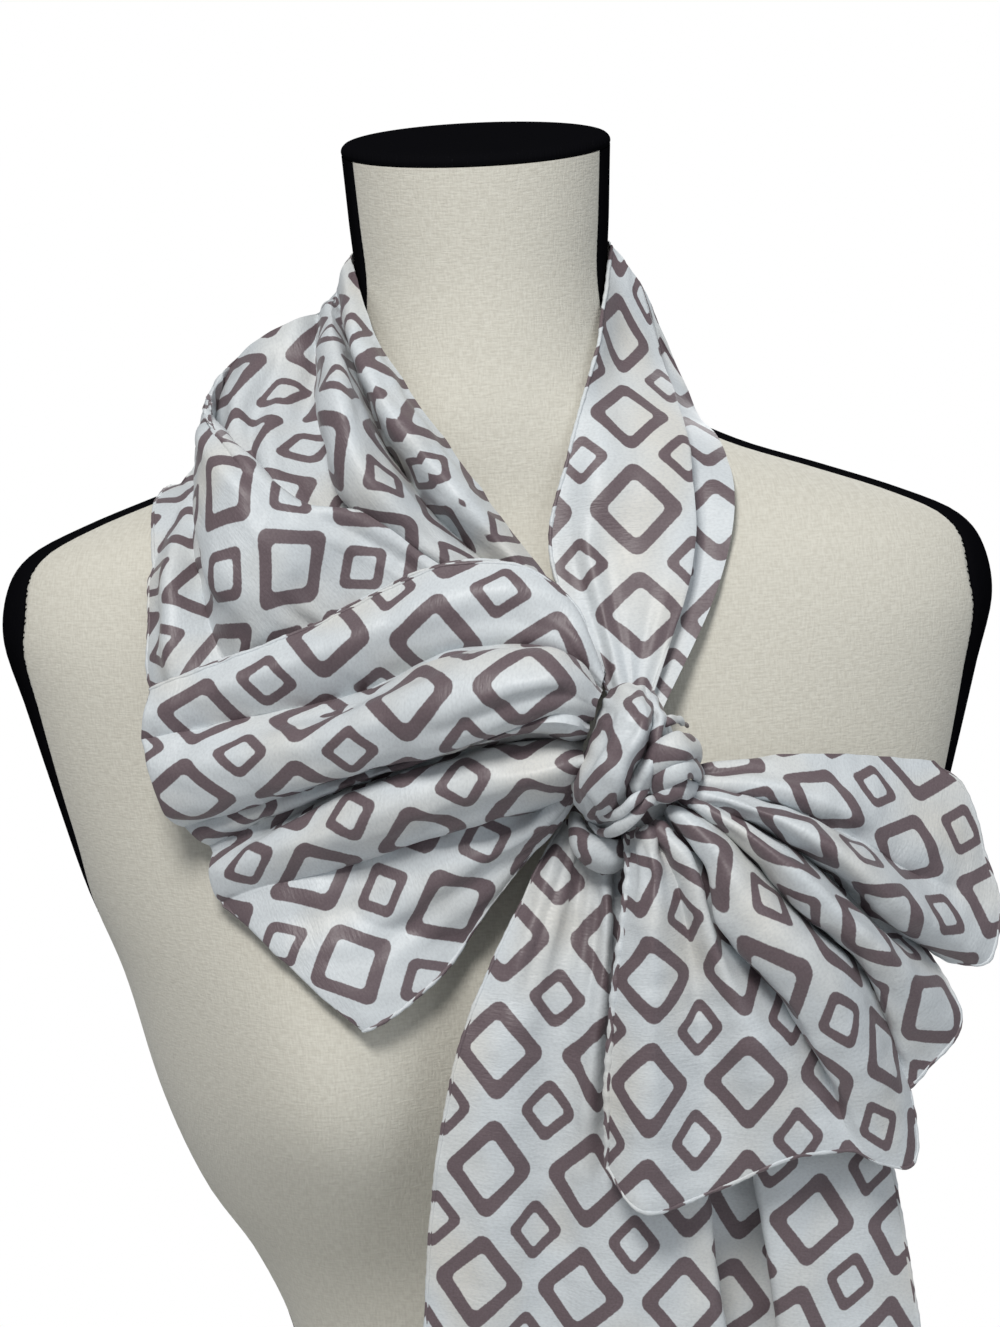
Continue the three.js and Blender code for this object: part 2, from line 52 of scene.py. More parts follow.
# %% [markdown]
# ## The look of the room
# Clothes for sale are shown against plain white, in soft light from a large window or a softbox. A world
# that looks white to the camera but lights the scene only gently keeps the folds readable. One key light,
# high in front, gives them their shading, a wide and weak one from the right keeps the shadows open, and one
# behind lights the back. The floor is a small pale disc: it catches the shadow and doesn't fill the view.

# %% A white world
ROOM_LIGHT = 0.28  # how strongly the world lights the scene; the camera sees it white

scene = bpy.context.scene
scene.view_settings.view_transform = "Standard"

world = bpy.data.worlds.new("studio")
world.use_nodes = True
scene.world = world
world_nodes = world.node_tree.nodes
world_links = world.node_tree.links
world_nodes.clear()
backdrop = world_nodes.new("ShaderNodeBackground")
backdrop.inputs["Color"].default_value = (1, 1, 1, 1)
room_light = world_nodes.new("ShaderNodeBackground")
room_light.inputs["Color"].default_value = (0.93, 0.96, 1.0, 1)
room_light.inputs["Strength"].default_value = ROOM_LIGHT
seen = world_nodes.new("ShaderNodeLightPath")
either = world_nodes.new("ShaderNodeMixShader")
world_out = world_nodes.new("ShaderNodeOutputWorld")
world_links.new(seen.outputs["Is Camera Ray"], either.inputs[0])
world_links.new(room_light.outputs[0], either.inputs[1])
world_links.new(backdrop.outputs[0], either.inputs[2])
world_links.new(either.outputs[0], world_out.inputs["Surface"])
print("the world has", len(world_nodes), "nodes")

# %% Three soft lights
CHEST = np.array([0.0, 0.0, 0.546])  # the middle of what the camera looks at


def soft_light(name, place, wide, watts, colour):
    """A square light aimed at the chest."""
    lamp = bpy.data.lights.new(name, "AREA")
    lamp.shape = "SQUARE"
    lamp.size = wide
    lamp.energy = watts
    lamp.color = colour
    light = bpy.data.objects.new(name, lamp)
    scene.collection.objects.link(light)
    light.location = place
    light.rotation_euler = (Vector(CHEST) - light.location).to_track_quat("-Z", "Y").to_euler()
    print(name, "light,", watts, "W over", wide, "m")


soft_light("window", (-0.35, -1.5, 2.1), 0.6, 35, (1.0, 0.985, 0.96))
soft_light("fill", (1.7, -1.6, 0.9), 1.6, 8.5, (0.90, 0.95, 1.0))
soft_light("behind", (0.6, 1.8, 1.5), 1.4, 18, (1.0, 1.0, 1.0))

# %% The floor
FLOOR_RADIUS, FLOOR_SIDES = 0.6, 96

floor_turns = np.arange(FLOOR_SIDES) * 2 * math.pi / FLOOR_SIDES
floor_mesh = bpy.data.meshes.new("floor")
floor_mesh.from_pydata(
    [(0, 0, 0)] + [(FLOOR_RADIUS * math.cos(a), FLOOR_RADIUS * math.sin(a), 0) for a in floor_turns],
    [],
    [(0, k + 1, (k + 1) % FLOOR_SIDES + 1) for k in range(FLOOR_SIDES)],
)
floor = bpy.data.objects.new("floor", floor_mesh)
floor.location.z = -0.0005
scene.collection.objects.link(floor)
pale = bpy.data.materials.new("pale_floor")
pale.use_nodes = True
pale_surface = pale.node_tree.nodes["Principled BSDF"]
pale_surface.inputs["Base Color"].default_value = (0.82, 0.82, 0.81, 1)
pale_surface.inputs["Roughness"].default_value = 0.7
floor_mesh.materials.append(pale)
print("a floor disc", 2 * FLOOR_RADIUS, "m wide")

# %% [markdown]
# ## The camera
# The camera stands in front, a little above the chest, with a long lens and held slightly askew. Its roll is
# easiest to give as a turn of its own right and up directions.

# %% Camera
VIEW_DISTANCE = 1.1
VIEW_RISE = math.radians(6.0)  # above level
VIEW_ROLL = math.radians(2.7)
LENS = 76.52  # in millimetres; the sensor's long side is 36

back = np.array([0.0, -math.cos(VIEW_RISE), math.sin(VIEW_RISE)])
level = np.array([1.0, 0.0, 0.0])
upright = np.cross(back, level)
right = math.cos(VIEW_ROLL) * level - math.sin(VIEW_ROLL) * upright
up = math.sin(VIEW_ROLL) * level + math.cos(VIEW_ROLL) * upright
eye = CHEST + VIEW_DISTANCE * back
pose = np.eye(4)
pose[:3, 0], pose[:3, 1], pose[:3, 2], pose[:3, 3] = right, up, back, eye
camera_data = bpy.data.cameras.new("camera")
camera_data.lens = LENS
camera_data.clip_start = 0.05
camera = bpy.data.objects.new("camera", camera_data)
scene.collection.objects.link(camera)
camera.matrix_world = pose.T.tolist()
scene.camera = camera
print("camera at", np.round(eye, 3))

# %% [markdown]
# ## Smooth curves through a few places
# A fold is drawn by three to five places along it. A cubic that passes through them, with its slope at each
# place taken from the two neighbours, is the simplest smooth curve. Where the slope at a place is turned down
# towards zero the curve makes a corner there, and that is how a sharp valley sits between round crests.

# %% A curve through a row of places
def cubic(u, first, last, leaving, arriving):
    """From first to last as u goes from 0 to 1, with these slopes on leaving and arriving."""
    return (
        (1 - 3 * u**2 + 2 * u**3) * first
        + (u - 2 * u**2 + u**3) * leaving
        + (3 * u**2 - 2 * u**3) * last
        + (u**3 - u**2) * arriving
    )


def smooth_through(stops, t, corner=None):
    """Places at t, from 0 to 1, on a curve through the stops; corner is 0 for round and 1 for sharp."""
    stops = np.asarray(stops, float)
    ends = np.concatenate([2 * stops[:1] - stops[1:2], stops, 2 * stops[-1:] - stops[-2:-1]])
    slope = (ends[2:] - ends[:-2]) / 2
    spread = [-1] + [1] * (stops.ndim - 1)
    if corner is not None:
        slope = slope * (1 - np.reshape(corner, spread))
    t = np.asarray(t, float) * (len(stops) - 1)
    i = np.clip(np.floor(t).astype(int), 0, len(stops) - 2)
    u = (t - i).reshape(spread)
    return cubic(u, stops[i], stops[i + 1], slope[i], slope[i + 1])


def unit(v):
    return v / np.maximum(np.linalg.norm(v, axis=-1, keepdims=True), 1e-9)


def smooth_step(low, high, x):
    x = np.clip((x - low) / (high - low), 0, 1)
    return x * x * (3 - 2 * x)


print("a curve through 0, 1 and 0:", np.round(smooth_through((0, 1, 0), np.linspace(0, 1, 5)), 2))


# %% [markdown]
# ## The dress form's skin
# A dress form is a turned foam body in a sewn cover. Its sections are rounded ovals that go from round at the
# neck to squarish at the shoulders, so each is a superellipse: half a width, a depth in front and behind, and
# how square it is. The bust is two soft mounds on the front.

# %% Sections of the form
# height, half the width, depth in front, depth behind, squareness
FORM_SECTIONS = np.array([
    (0, 150, 92, 100, 2.3),
    (45, 158, 98, 106, 2.3),
    (95, 160, 100, 110, 2.3),
    (150, 146, 95, 104, 2.3),
    (205, 112, 84, 86, 2.3),
    (250, 91, 76, 73, 2.3),
    (291, 95, 78, 73, 2.3),
    (326, 109, 86, 79, 2.3),
    (354, 126, 94, 85, 2.35),
    (390, 140, 100, 91, 2.4),
    (437, 152, 100, 95, 2.5),
    (469, 164, 97, 97, 2.55),
    (500, 173, 93, 98, 2.6),
    (540, 184, 86, 96, 2.6),
    (566, 191, 79, 92, 2.6),
    (586, 188, 72, 88, 2.5),
    (598, 178, 66, 84, 2.4),
    (608, 156, 62, 80, 2.3),
    (618, 128, 60, 76, 2.2),
    (629, 96, 59, 72, 2.1),
    (645, 66, 57, 66, 2.05),
    (665, 53, 53, 58, 2.0),
    (690, 48.5, 50, 52, 2.0),
    (720, 50, 50, 50, 2.0),
    (769, 53, 52, 52, 2.0),
])
HALF, FRONT, BEHIND, SQUARE = 1, 2, 3, 4  # the table's columns
BUST_X, BUST_Z = 72, 408  # where each mound is highest
BUST_WIDE, BUST_BELOW, BUST_ABOVE, BUST_DEEP = 46, 58, 75, 34  # its reach each way, and its depth


def section(column, z):
    """One column of the sections at any height, eased from row to row."""
    heights, values = FORM_SECTIONS[:, 0], FORM_SECTIONS[:, column]
    slope = np.empty(len(values))
    slope[1:-1] = (values[2:] - values[:-2]) / (heights[2:] - heights[:-2])
    slope[0] = (values[1] - values[0]) / (heights[1] - heights[0])
    slope[-1] = (values[-1] - values[-2]) / (heights[-1] - heights[-2])
    z = np.asarray(z, float)
    i = np.clip(np.searchsorted(heights, z) - 1, 0, len(values) - 2)
    span = heights[i + 1] - heights[i]
    u = np.clip((z - heights[i]) / span, 0, 1)
    return cubic(u, values[i], values[i + 1], span * slope[i], span * slope[i + 1])


def bust_at(x, z):
    fall = np.exp(-(((z - BUST_Z) / np.where(z > BUST_Z, BUST_ABOVE, BUST_BELOW)) ** 2))
    sides = sum(np.exp(-(((x - at) / BUST_WIDE) ** 2)) for at in (-BUST_X, BUST_X))
    return BUST_DEEP * fall * sides


print("half the shoulders", section(HALF, 566), "mm, half the neck", section(HALF, 700).round(1), "mm")

# %% How far out a place is
PUSHES, LONGEST_PUSH = 6, 12  # how often, and how far at once, cloth is pushed off the form


def form_level(p):
    """1 on the form's skin, more outside it and less inside."""
    x, y, z = p[..., 0], p[..., 1], p[..., 2]
    square = section(SQUARE, z)
    ahead = y < 0
    reach = np.where(ahead, np.maximum(0, -y - bust_at(x, z)), y)
    depth = reach / np.where(ahead, section(FRONT, z), section(BEHIND, z))
    across = np.abs(x) / section(HALF, z)
    return (across**square + depth**square) ** (1 / square)


def form_slope(p):
    step = 0.5
    parts = []
    for axis in np.eye(3) * step:
        parts.append((form_level(p + axis) - form_level(p - axis)) / (2 * step))
    return np.stack(parts, axis=-1)


def clear_of_form(p, clearance):
    """Moves cloth outwards until its middle is that clear of the form."""
    p = np.array(p, float)
    for _ in range(PUSHES):
        slope = form_slope(p)
        steep = np.maximum(np.linalg.norm(slope, axis=-1), 1e-4)
        short = clearance - (form_level(p) - 1) / steep
        p += unit(slope) * np.clip(short, 0, LONGEST_PUSH)[..., None]
    return p


inside = np.array([0.0, -80.0, 500.0])
print("a place inside the chest is moved out to", clear_of_form(inside, 1).round(1))

# %% [markdown]
# ## Short ways to build a material
# A procedural finish is a little chain of arithmetic. A small helper keeps each step to one line, so that a
# material reads like the recipe it is. Plain numbers go straight on a socket and only what varies is linked.

# %% A helper for materials
class Finish:
    """A material being made; its slot is kept but not used. add() makes a node and sets or links its inputs.
    """

    def __init__(self, name, slot, **plain):
        self.slot = slot
        self.material = bpy.data.materials.new(name)
        self.material.use_nodes = True
        self.tree = self.material.node_tree
        self.surface = self.tree.nodes["Principled BSDF"]
        for socket, value in plain.items():
            self.put(self.surface.inputs[socket.replace("_", " ").title()], value)

    def put(self, socket, value):
        if isinstance(value, bpy.types.NodeSocket):
            self.tree.links.new(value, socket)
        else:
            socket.default_value = value

    def add(self, kind, inputs=None, output=0, **settings):
        node = self.tree.nodes.new("ShaderNode" + kind)
        for key, value in settings.items():
            setattr(node, key, value)
        for key, value in (inputs or {}).items():
            self.put(node.inputs[key], value)
        return node.outputs[output]

    def maths(self, operation, *values):
        return self.add("Math", dict(enumerate(values)), operation=operation)

    def cloth_places(self):
        """Where on the flat cloth a point is: along it, across it, in metres."""
        place = self.add("UVMap", uv_map="cloth")
        parts = self.tree.nodes.new("ShaderNodeSeparateXYZ")
        self.put(parts.inputs[0], place)
        return parts.outputs[0], parts.outputs[1]

    def grain(self, along, across, pitch_along, pitch_across, detail=2.0):
        """Noise stretched to a pitch each way along the cloth, in metres; 0 to 1."""
        place = self.add("CombineXYZ", {
            0: self.maths("DIVIDE", along, pitch_along),
            1: self.maths("DIVIDE", across, pitch_across),
        })
        return self.add("TexNoise", {"Vector": place, "Scale": 1.0, "Detail": detail})

    def colour_mix(self, amount, first, second):
        node = self.tree.nodes.new("ShaderNodeMix")
        node.data_type = "RGBA"
        for socket, value in ((0, amount), (6, first), (7, second)):
            self.put(node.inputs[socket], value)
        return node.outputs[2]

    def bumps(self, height, deep, normal=None):
        inputs = {"Height": height, "Distance": deep, "Strength": 1.0}
        if normal is not None:
            inputs["Normal"] = normal
        return self.add("Bump", inputs)


# %% [markdown]
# ## Linen and knit for the form
# The form's cover is a cream linen canvas: thick and thin threads cross, so its colour and its surface
# both vary in short streaks that run up and across. Two stretched noises, one for each direction, give that
# without the shimmer of a drawn weave. The strip up the sides is a black stretch knit with a fine rib and a
# little lint. Such a cover may carry a print, but here it is left as bare linen.

# %% Linen
linen = Finish("linen", "linen", roughness=0.88, sheen_weight=0.15, sheen_roughness=0.5)
around, height = linen.cloth_places()
upright_threads = linen.grain(around, height, 0.0008, 0.0034, 1.0)
level_threads = linen.grain(around, height, 0.0034, 0.0008, 1.0)
threads = linen.maths("ADD", upright_threads, level_threads)
slubs = linen.grain(around, height, 0.014, 0.0016, 2.0)
cream, shadow_cream = (0.69, 0.67, 0.59, 1), (0.46, 0.43, 0.36, 1)
thread_shade = linen.add("MapRange", {0: threads, 1: 0.75, 2: 1.25, 3: 0.0, 4: 0.62})
slub_shade = linen.add("MapRange", {0: slubs, 1: 0.6, 2: 0.8, 3: 0.0, 4: 0.16})
shade = linen.maths("MULTIPLY", linen.maths("ADD", thread_shade, slub_shade), 0.6)
linen.put(linen.surface.inputs["Base Color"], linen.colour_mix(shade, cream, shadow_cream))
linen.put(linen.surface.inputs["Normal"], linen.bumps(threads, 0.00016))
print("linen:", len(linen.tree.nodes), "nodes")

# %% Black knit
jersey = Finish("jersey", "jersey", roughness=1.0)
jersey.surface.inputs["Specular IOR Level"].default_value = 0.0
around, height = jersey.cloth_places()
ribs = jersey.grain(around, height, 0.0007, 0.004)
lint = jersey.grain(around, height, 0.0012, 0.0012, 4.0)
lint_spots = jersey.add("MapRange", {0: lint, 1: 0.66, 2: 0.8, 3: 0.0, 4: 0.5})
black, lint_grey = (0.004, 0.004, 0.005, 1), (0.022, 0.022, 0.026, 1)
jersey.put(jersey.surface.inputs["Base Color"], jersey.colour_mix(lint_spots, black, lint_grey))
jersey.put(jersey.surface.inputs["Normal"], jersey.bumps(ribs, 0.0004))
print("black knit:", len(jersey.tree.nodes), "nodes")

# %% [markdown]
# ## A thin wall from a grid
# Every piece here is a grid of places. Cloth has two faces and a rim, so the wall is the grid moved both ways
# along its own normal and joined round the edge. Each point keeps its place on the flat cloth as a UV in
# metres, and the printed pattern and the weave are drawn on that.

# %% Measures of a grid
def grid_normals(grid):
    return unit(np.cross(np.gradient(grid, axis=0), np.gradient(grid, axis=1)))


def run_along(grid, axis):
    """How far each point is from the first one, measured on the surface along one axis of the grid."""
    steps = np.linalg.norm(np.diff(grid, axis=axis), axis=-1)
    return np.insert(np.cumsum(steps, axis=axis), 0, 0, axis=axis)


print("lengths along a bent line:", run_along(np.array([(0, 0, 0), (3, 4, 0), (3, 4, 5)]), 0))


# %% From a grid to a piece
SHARP_FROM = math.radians(65)  # edges bent more than this are drawn as edges


def grid_quads(rows, columns, first=0):
    at = np.arange(rows * columns).reshape(rows, columns) + first
    return np.stack([at[:-1, :-1], at[1:, :-1], at[1:, 1:], at[:-1, 1:]], axis=-1).reshape(-1, 4)


def add_piece(name, points, quads, places, finish, replaces=()):
    """A mesh piece from points in millimetres; places holds each point's UV in metres."""
    mesh = bpy.data.meshes.new(name)
    mesh.from_pydata((np.asarray(points) * MM).tolist(), [], np.asarray(quads).tolist())
    layer = mesh.uv_layers.new(name="cloth")
    corner = np.empty(len(mesh.loops), np.int64)
    mesh.loops.foreach_get("vertex_index", corner)
    layer.data.foreach_set("uv", np.asarray(places, np.float32)[corner].ravel())
    mesh.materials.append(finish.material)
    mesh.shade_smooth()
    mesh.set_sharp_from_angle(angle=SHARP_FROM)
    piece = bpy.data.objects.new(name, mesh)
    scene.collection.objects.link(piece)
    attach(piece, "root")
    if replaces:
        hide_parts(*replaces)
    return piece


def wall_from(grid, outer, inner):
    """Points and quads of a closed wall; outer and inner are how far each face stands off the grid."""
    rows, columns = grid.shape[:2]
    normals = grid_normals(grid)
    faces = [(grid + normals * outer).reshape(-1, 3), (grid - normals * inner).reshape(-1, 3)]
    count = rows * columns
    front = grid_quads(rows, columns)
    behind = grid_quads(rows, columns, count)[:, ::-1]
    at = np.arange(count).reshape(rows, columns)
    edge = np.concatenate([at[0, :-1], at[:-1, -1], at[-1, :0:-1], at[:0:-1, 0]])
    onward = np.roll(edge, -1)
    rim = np.stack([edge, onward, onward + count, edge + count], axis=-1)
    return np.concatenate(faces), np.concatenate([front, behind, rim])


def wall_piece(name, grid, places, outer, inner, finish, replaces=()):
    points, quads = wall_from(grid, outer, inner)
    flat = places.reshape(-1, 2)
    print(name, "has", len(quads), "faces")
    return add_piece(name, points, quads, np.concatenate([flat, flat]), finish, replaces)


# %% [markdown]
# ## The form's cover
# The cover is cut as a front, a back and a strip up each side that widens at the arm ends and runs up the
# neck. Each is a patch of the same skin, so the seams close by themselves: a patch ends where the skin's
# depth equals half the strip. The cover turns under at the foot, and each edge dips a little into its seam.

# %% The skin and where its seams run
STRIP_HALF, ARM_STRIP_HALF = 20, 38  # half the black strip's width, and at the arm ends
ARM_WIDENS, ARM_NARROWS = (440, 492), (570, 612)  # the heights where it changes from one to the other
NECK_TOP, NECK_TILT, CAP_THICK = 749, 0.2, 5
TILTS_FROM = 680


def strip_half(z):
    arm = smooth_step(*ARM_WIDENS, z) * (1 - smooth_step(*ARM_NARROWS, z))
    return STRIP_HALF + (ARM_STRIP_HALF - STRIP_HALF) * arm


def skin(z, turn):
    """The form's skin at a height and a turn about its axis; 0 is towards +X and a quarter turn +Y."""
    around = 2 / section(SQUARE, z)
    c, s = np.cos(turn), np.sin(turn)
    x = section(HALF, z) * np.sign(c) * np.abs(c) ** around
    ahead = s < 0
    depth = np.where(ahead, section(FRONT, z), section(BEHIND, z)) * np.abs(s) ** around
    y = np.where(ahead, -depth - bust_at(x, z) * np.minimum(1, -3 * s), depth)
    tilt = NECK_TILT * y * smooth_step(TILTS_FROM, NECK_TOP - CAP_THICK, z)
    return np.stack([x, y, z + tilt], axis=-1)


def strip_turn(z, column):
    """The turn at which the skin is as deep as half the strip."""
    return np.arcsin((strip_half(z) / section(column, z)) ** (section(SQUARE, z) / 2))


def seam_turns(z):
    """The turns of the four seams at a height, from the right front one round to itself again."""
    ahead, behind = strip_turn(z, FRONT), strip_turn(z, BEHIND)
    return -np.pi + ahead, -ahead, behind, np.pi - behind, np.pi + ahead


print("the strip is", 2 * strip_half(530), "mm wide at the arm and", 2 * strip_half(700), "mm at the neck")

# %% The four patches
COVER_WALL = 1.6
SEAM_DIP, SEAM_SOFT = 0.9, 1.6  # how deep and how wide an edge dips into its seam
FOOT_INSETS = (0.02, 0.5, 0.95, 0.985)  # rows under the foot, as shares of its outline
FOOT_RISES = (0, 0, 0, 0.9)
COVER_HEIGHTS = np.concatenate([  # closest over the shoulders, where the skin turns fastest
    np.linspace(3, 560, 92), np.linspace(564, 672, 44), np.linspace(676, 744, 16),
])
COVER_PATCHES = (  # name, the seam it starts from, how many columns, finish, node
    ("front_cover", 0, 100, linen, "form_front"),
    ("back_cover", 2, 80, linen, "form_back"),
    ("side_strip_left", 1, 20, jersey, "form_gusset"),
    ("side_strip_right", 3, 20, jersey, "form_gusset"),
)


def cover_patch(name, seam, columns, finish, node):
    """The cover from one seam to the next."""
    z = COVER_HEIGHTS
    start, stop = seam_turns(z)[seam : seam + 2]
    k = (1 - np.cos(np.pi * np.linspace(0, 1, columns))) / 2
    turns = start[:, None] + (stop - start)[:, None] * k
    grid = skin(z[:, None] + 0 * turns, turns)
    foot = [grid[0] * (inset, inset, 0) + (0, 0, rise) for inset, rise in zip(FOOT_INSETS, FOOT_RISES)]
    grid = np.concatenate([foot, grid])
    along = run_along(grid, 1)
    from_edge = np.minimum(along, along[:, -1:] - along)
    dip = SEAM_DIP * np.exp(-((from_edge / SEAM_SOFT) ** 2))
    dip[: len(foot)] = 0
    grid += grid_normals(grid) * dip[..., None]  # this way round the normals look into the form
    up = run_along(grid, 0)
    level = np.repeat(up[:, columns // 2][:, None], columns, axis=1)  # the weft runs level
    places = np.stack([along - along[:, -1:] / 2, level], axis=-1) * MM
    wall_piece(name, grid[:, ::-1], places[:, ::-1], 0, COVER_WALL, finish, [node])
    print(name, "seam length", round(float(up[-1, 0])), "mm")
    return grid


patches = {patch[0]: cover_patch(*patch) for patch in COVER_PATCHES}

# %% [markdown]
# ## The stitches along the seams
# The strip is sewn to the linen by a machine zigzag in black thread, which bites into the linen as a row of
# small ticks. Each tick is one short bent thread. They are all alike, so one is made as a little prism and
# set down hundreds of times along each seam in a single mesh.

# %% Zigzag ticks
TICK_PITCH, TICK_LONG, TICK_LEAN, TICK_RADIUS = 2.7, 2.1, 0.8, 0.34
TICK_RINGS = ((-0.25, -0.2), (0.1, 0.35), (0.7, 0.3), (1.0, -0.4))  # share of its length, height in mm
TICK_CORNERS = np.arange(4) * math.pi / 2
FIRST_TICK = 4  # from each end of the seam
SEWN_ROWS = slice(5, -3)  # leaves out the rows under the foot and at the top


def ticks_along(edge, inwards, outwards):
    """Points and quads of ticks from an edge line into the linen."""
    run = run_along(edge, 0)
    stops = np.arange(FIRST_TICK, run[-1] - FIRST_TICK, TICK_PITCH)

    def at_stops(values):
        return np.stack([np.interp(stops, run, part) for part in values.T], axis=-1)

    start, side, lift = at_stops(edge), unit(at_stops(inwards)), unit(at_stops(outwards))
    onward = unit(np.cross(lift, side))
    lean = np.where(np.arange(len(stops)) % 2, 1, -1)[:, None] * TICK_LEAN
    rings = []
    for share, rise in TICK_RINGS:
        middle = start + side * TICK_LONG * share + onward * lean * share + lift * rise
        ring = [middle + TICK_RADIUS * (onward * math.cos(a) + lift * math.sin(a)) for a in TICK_CORNERS]
        rings.append(np.stack(ring, axis=1))
    points = np.stack(rings, axis=1).reshape(-1, 3)  # tick, ring, corner
    quads = []
    for tick in range(len(stops)):
        first = tick * 16
        for ring in range(3):
            a = first + ring * 4
            quads += [(a + k, a + (k + 1) % 4, a + 4 + (k + 1) % 4, a + 4 + k) for k in range(4)]
        quads += [(first + 3, first + 2, first + 1, first), (first + 12, first + 13, first + 14, first + 15)]
    return points, np.array(quads)


def sew(name, patch):
    points, quads, count = [], [], 0
    for edge, inner in ((0, 3), (-1, -4)):
        line = patch[SEWN_ROWS, edge]
        outwards = -grid_normals(patch)[SEWN_ROWS, inner]
        p, q = ticks_along(line, patch[SEWN_ROWS, inner] - line, outwards)
        points.append(p)
        quads.append(q + count)
        count += len(p)
    points = np.concatenate(points)
    add_piece(name, points, np.concatenate(quads), points[:, [0, 2]] * MM, jersey)
    print(name, len(points) // 16, "stitches")


sew("front_seam_stitches", patches["front_cover"])
sew("back_seam_stitches", patches["back_cover"])

# %% [markdown]
# ## The top of the neck
# The neck ends in a flat disc covered in the black knit, tilted a little towards the front. Its edge is
# rounded over, so it is turned as a few rings: flat across the top, over the edge, and down to the neck.

# %% Neck cap
# share of the neck's outline, height against the top
CAP_RINGS = ((0.0, 0), (0.5, 0), (0.86, -0.1), (0.95, -0.5), (0.985, -1.5), (1.0, -3.0), (0.995, -4.6))
CAP_WALL = 1.5
CAP_SIDES = 120

cap_outline = skin(np.full(CAP_SIDES + 1, NECK_TOP - CAP_THICK / 2), np.linspace(0, 2 * np.pi, CAP_SIDES + 1))
cap_rings = []
for share, down in CAP_RINGS:
    ring = cap_outline * (share, share, 0)
    ring[:, 2] = NECK_TOP + NECK_TILT * ring[:, 1] + down
    cap_rings.append(ring)
cap_grid = smooth_through(cap_rings, np.linspace(0, 1, 30))[::-1, ::-1]
wall_piece("neck_disc", cap_grid, cap_grid[..., :2] * MM, 0, CAP_WALL, jersey, ["neck_cap"])

# %% [markdown]
# ## The printed satin
# The repeat is a lattice of two hollow rounded squares set on their corners: a big one on each crossing and a
# small one in each gap. A square with round corners is a known formula, the distance to a rounded box, and
# a hollow one is a box less a smaller box. A slow noise bends the places first, because the real drawing is
# loose: no two squares are quite alike. All of it is drawn on the flat cloth, so it follows every fold.

# %% Places on the print
REPEAT_ALONG, REPEAT_ACROSS = 0.0415, 0.037
BIG_HALF, SMALL_HALF = 0.0134, 0.0082  # half a side, outside
BIG_STROKE, SMALL_STROKE = 0.0053, 0.0037
PRINT_LOOSE = 0.0011
LOOSE_PITCH = 0.042
BLEED, EDGE_SOFT = 0.0005, 0.00018  # how far the ink bleeds into the threads, and its soft edge

satin = Finish("printed_satin", "satin", roughness=0.48, sheen_weight=0.12, sheen_roughness=0.4)
maths = satin.maths
along, across = satin.cloth_places()


def loosened(place, seed):
    drift = satin.grain(maths("ADD", along, seed), across, LOOSE_PITCH, LOOSE_PITCH, 0.0)
    return maths("MULTIPLY_ADD", maths("SUBTRACT", drift, 0.5), 4 * PRINT_LOOSE, place)


loose_along, loose_across = loosened(along, 3.0), loosened(across, 7.0)
print("the print repeats every", REPEAT_ALONG, "m along and", REPEAT_ACROSS, "m across")


# %% Hollow squares
def in_cell(place, pitch, shift):
    """The distance from the middle of the nearest cell, in metres."""
    cell = maths("FRACT", maths("MULTIPLY_ADD", place, 1 / pitch, shift))
    return maths("MULTIPLY", maths("SUBTRACT", cell, 0.5), pitch)


def rounded_box(p, q, half, radius):
    """The distance outside a square of that half side with round corners."""
    past_p = maths("SUBTRACT", maths("ABSOLUTE", p), half - radius)
    past_q = maths("SUBTRACT", maths("ABSOLUTE", q), half - radius)
    flat_p, flat_q = maths("MAXIMUM", past_p, 0.0), maths("MAXIMUM", past_q, 0.0)
    squares = maths("ADD", maths("MULTIPLY", flat_p, flat_p), maths("MULTIPLY", flat_q, flat_q))
    within = maths("MINIMUM", maths("MAXIMUM", past_p, past_q), 0.0)
    return maths("SUBTRACT", maths("ADD", maths("SQRT", squares), within), radius)


def hollow_square(shift, half, stroke, outer_round, inner_round):
    """1 on the ink of a hollow square in each cell of the lattice."""
    x = in_cell(loose_along, REPEAT_ALONG, shift)
    y = in_cell(loose_across, REPEAT_ACROSS, shift)
    y = maths("MULTIPLY", y, REPEAT_ALONG / REPEAT_ACROSS)
    p = maths("MULTIPLY", maths("ADD", x, y), math.sqrt(0.5))
    q = maths("MULTIPLY", maths("SUBTRACT", x, y), math.sqrt(0.5))
    outside = rounded_box(p, q, half, outer_round)
    hole = rounded_box(p, q, half - stroke, inner_round)
    return maths("MAXIMUM", outside, maths("MULTIPLY", hole, -1.0))


big = hollow_square(0.5, BIG_HALF, BIG_STROKE, 0.0042, 0.0022)
small = hollow_square(0.0, SMALL_HALF, SMALL_STROKE, 0.0030, 0.0014)
edge = maths("MINIMUM", big, small)
bleed = satin.grain(along, across, 0.0011, 0.0011, 3.0)
edge = maths("MULTIPLY_ADD", maths("SUBTRACT", bleed, 0.5), BLEED, edge)
ink = satin.add("MapRange", {0: edge, 1: -EDGE_SOFT, 2: EDGE_SOFT, 3: 1.0, 4: 0.0})
print("the print takes", len(satin.tree.nodes), "nodes")

# %% [markdown]
# ## The satin itself
# The cloth is a thin crepe satin: a cool off-white, with broad warm patches laid at random over it as painted
# bounce light and shade from the linen, and a fine grey fleck where the weave opens. The ink is mauve-brown
# and speckled, since it sits on the tops of the threads. The surface has a soft sheen and a grain of fine
# cross ribs that shows where the light rakes it.

# %% Its colours
COOL_WHITE, PALE_WHITE = (0.610, 0.655, 0.690, 1), (0.665, 0.700, 0.715, 1)
# the warm beige is painted bounce light and shade, not a colour of the cloth
PAINTED_BOUNCE_WHITE, OPEN_WEAVE = (0.680, 0.640, 0.560, 1), (0.40, 0.42, 0.44, 1)
DARK_MAUVE, LIGHT_MAUVE = (0.095, 0.067, 0.076, 1), (0.180, 0.138, 0.150, 1)
print("the cloth is", round(COOL_WHITE[1] / LIGHT_MAUVE[1], 1), "times as light as the lightest ink")

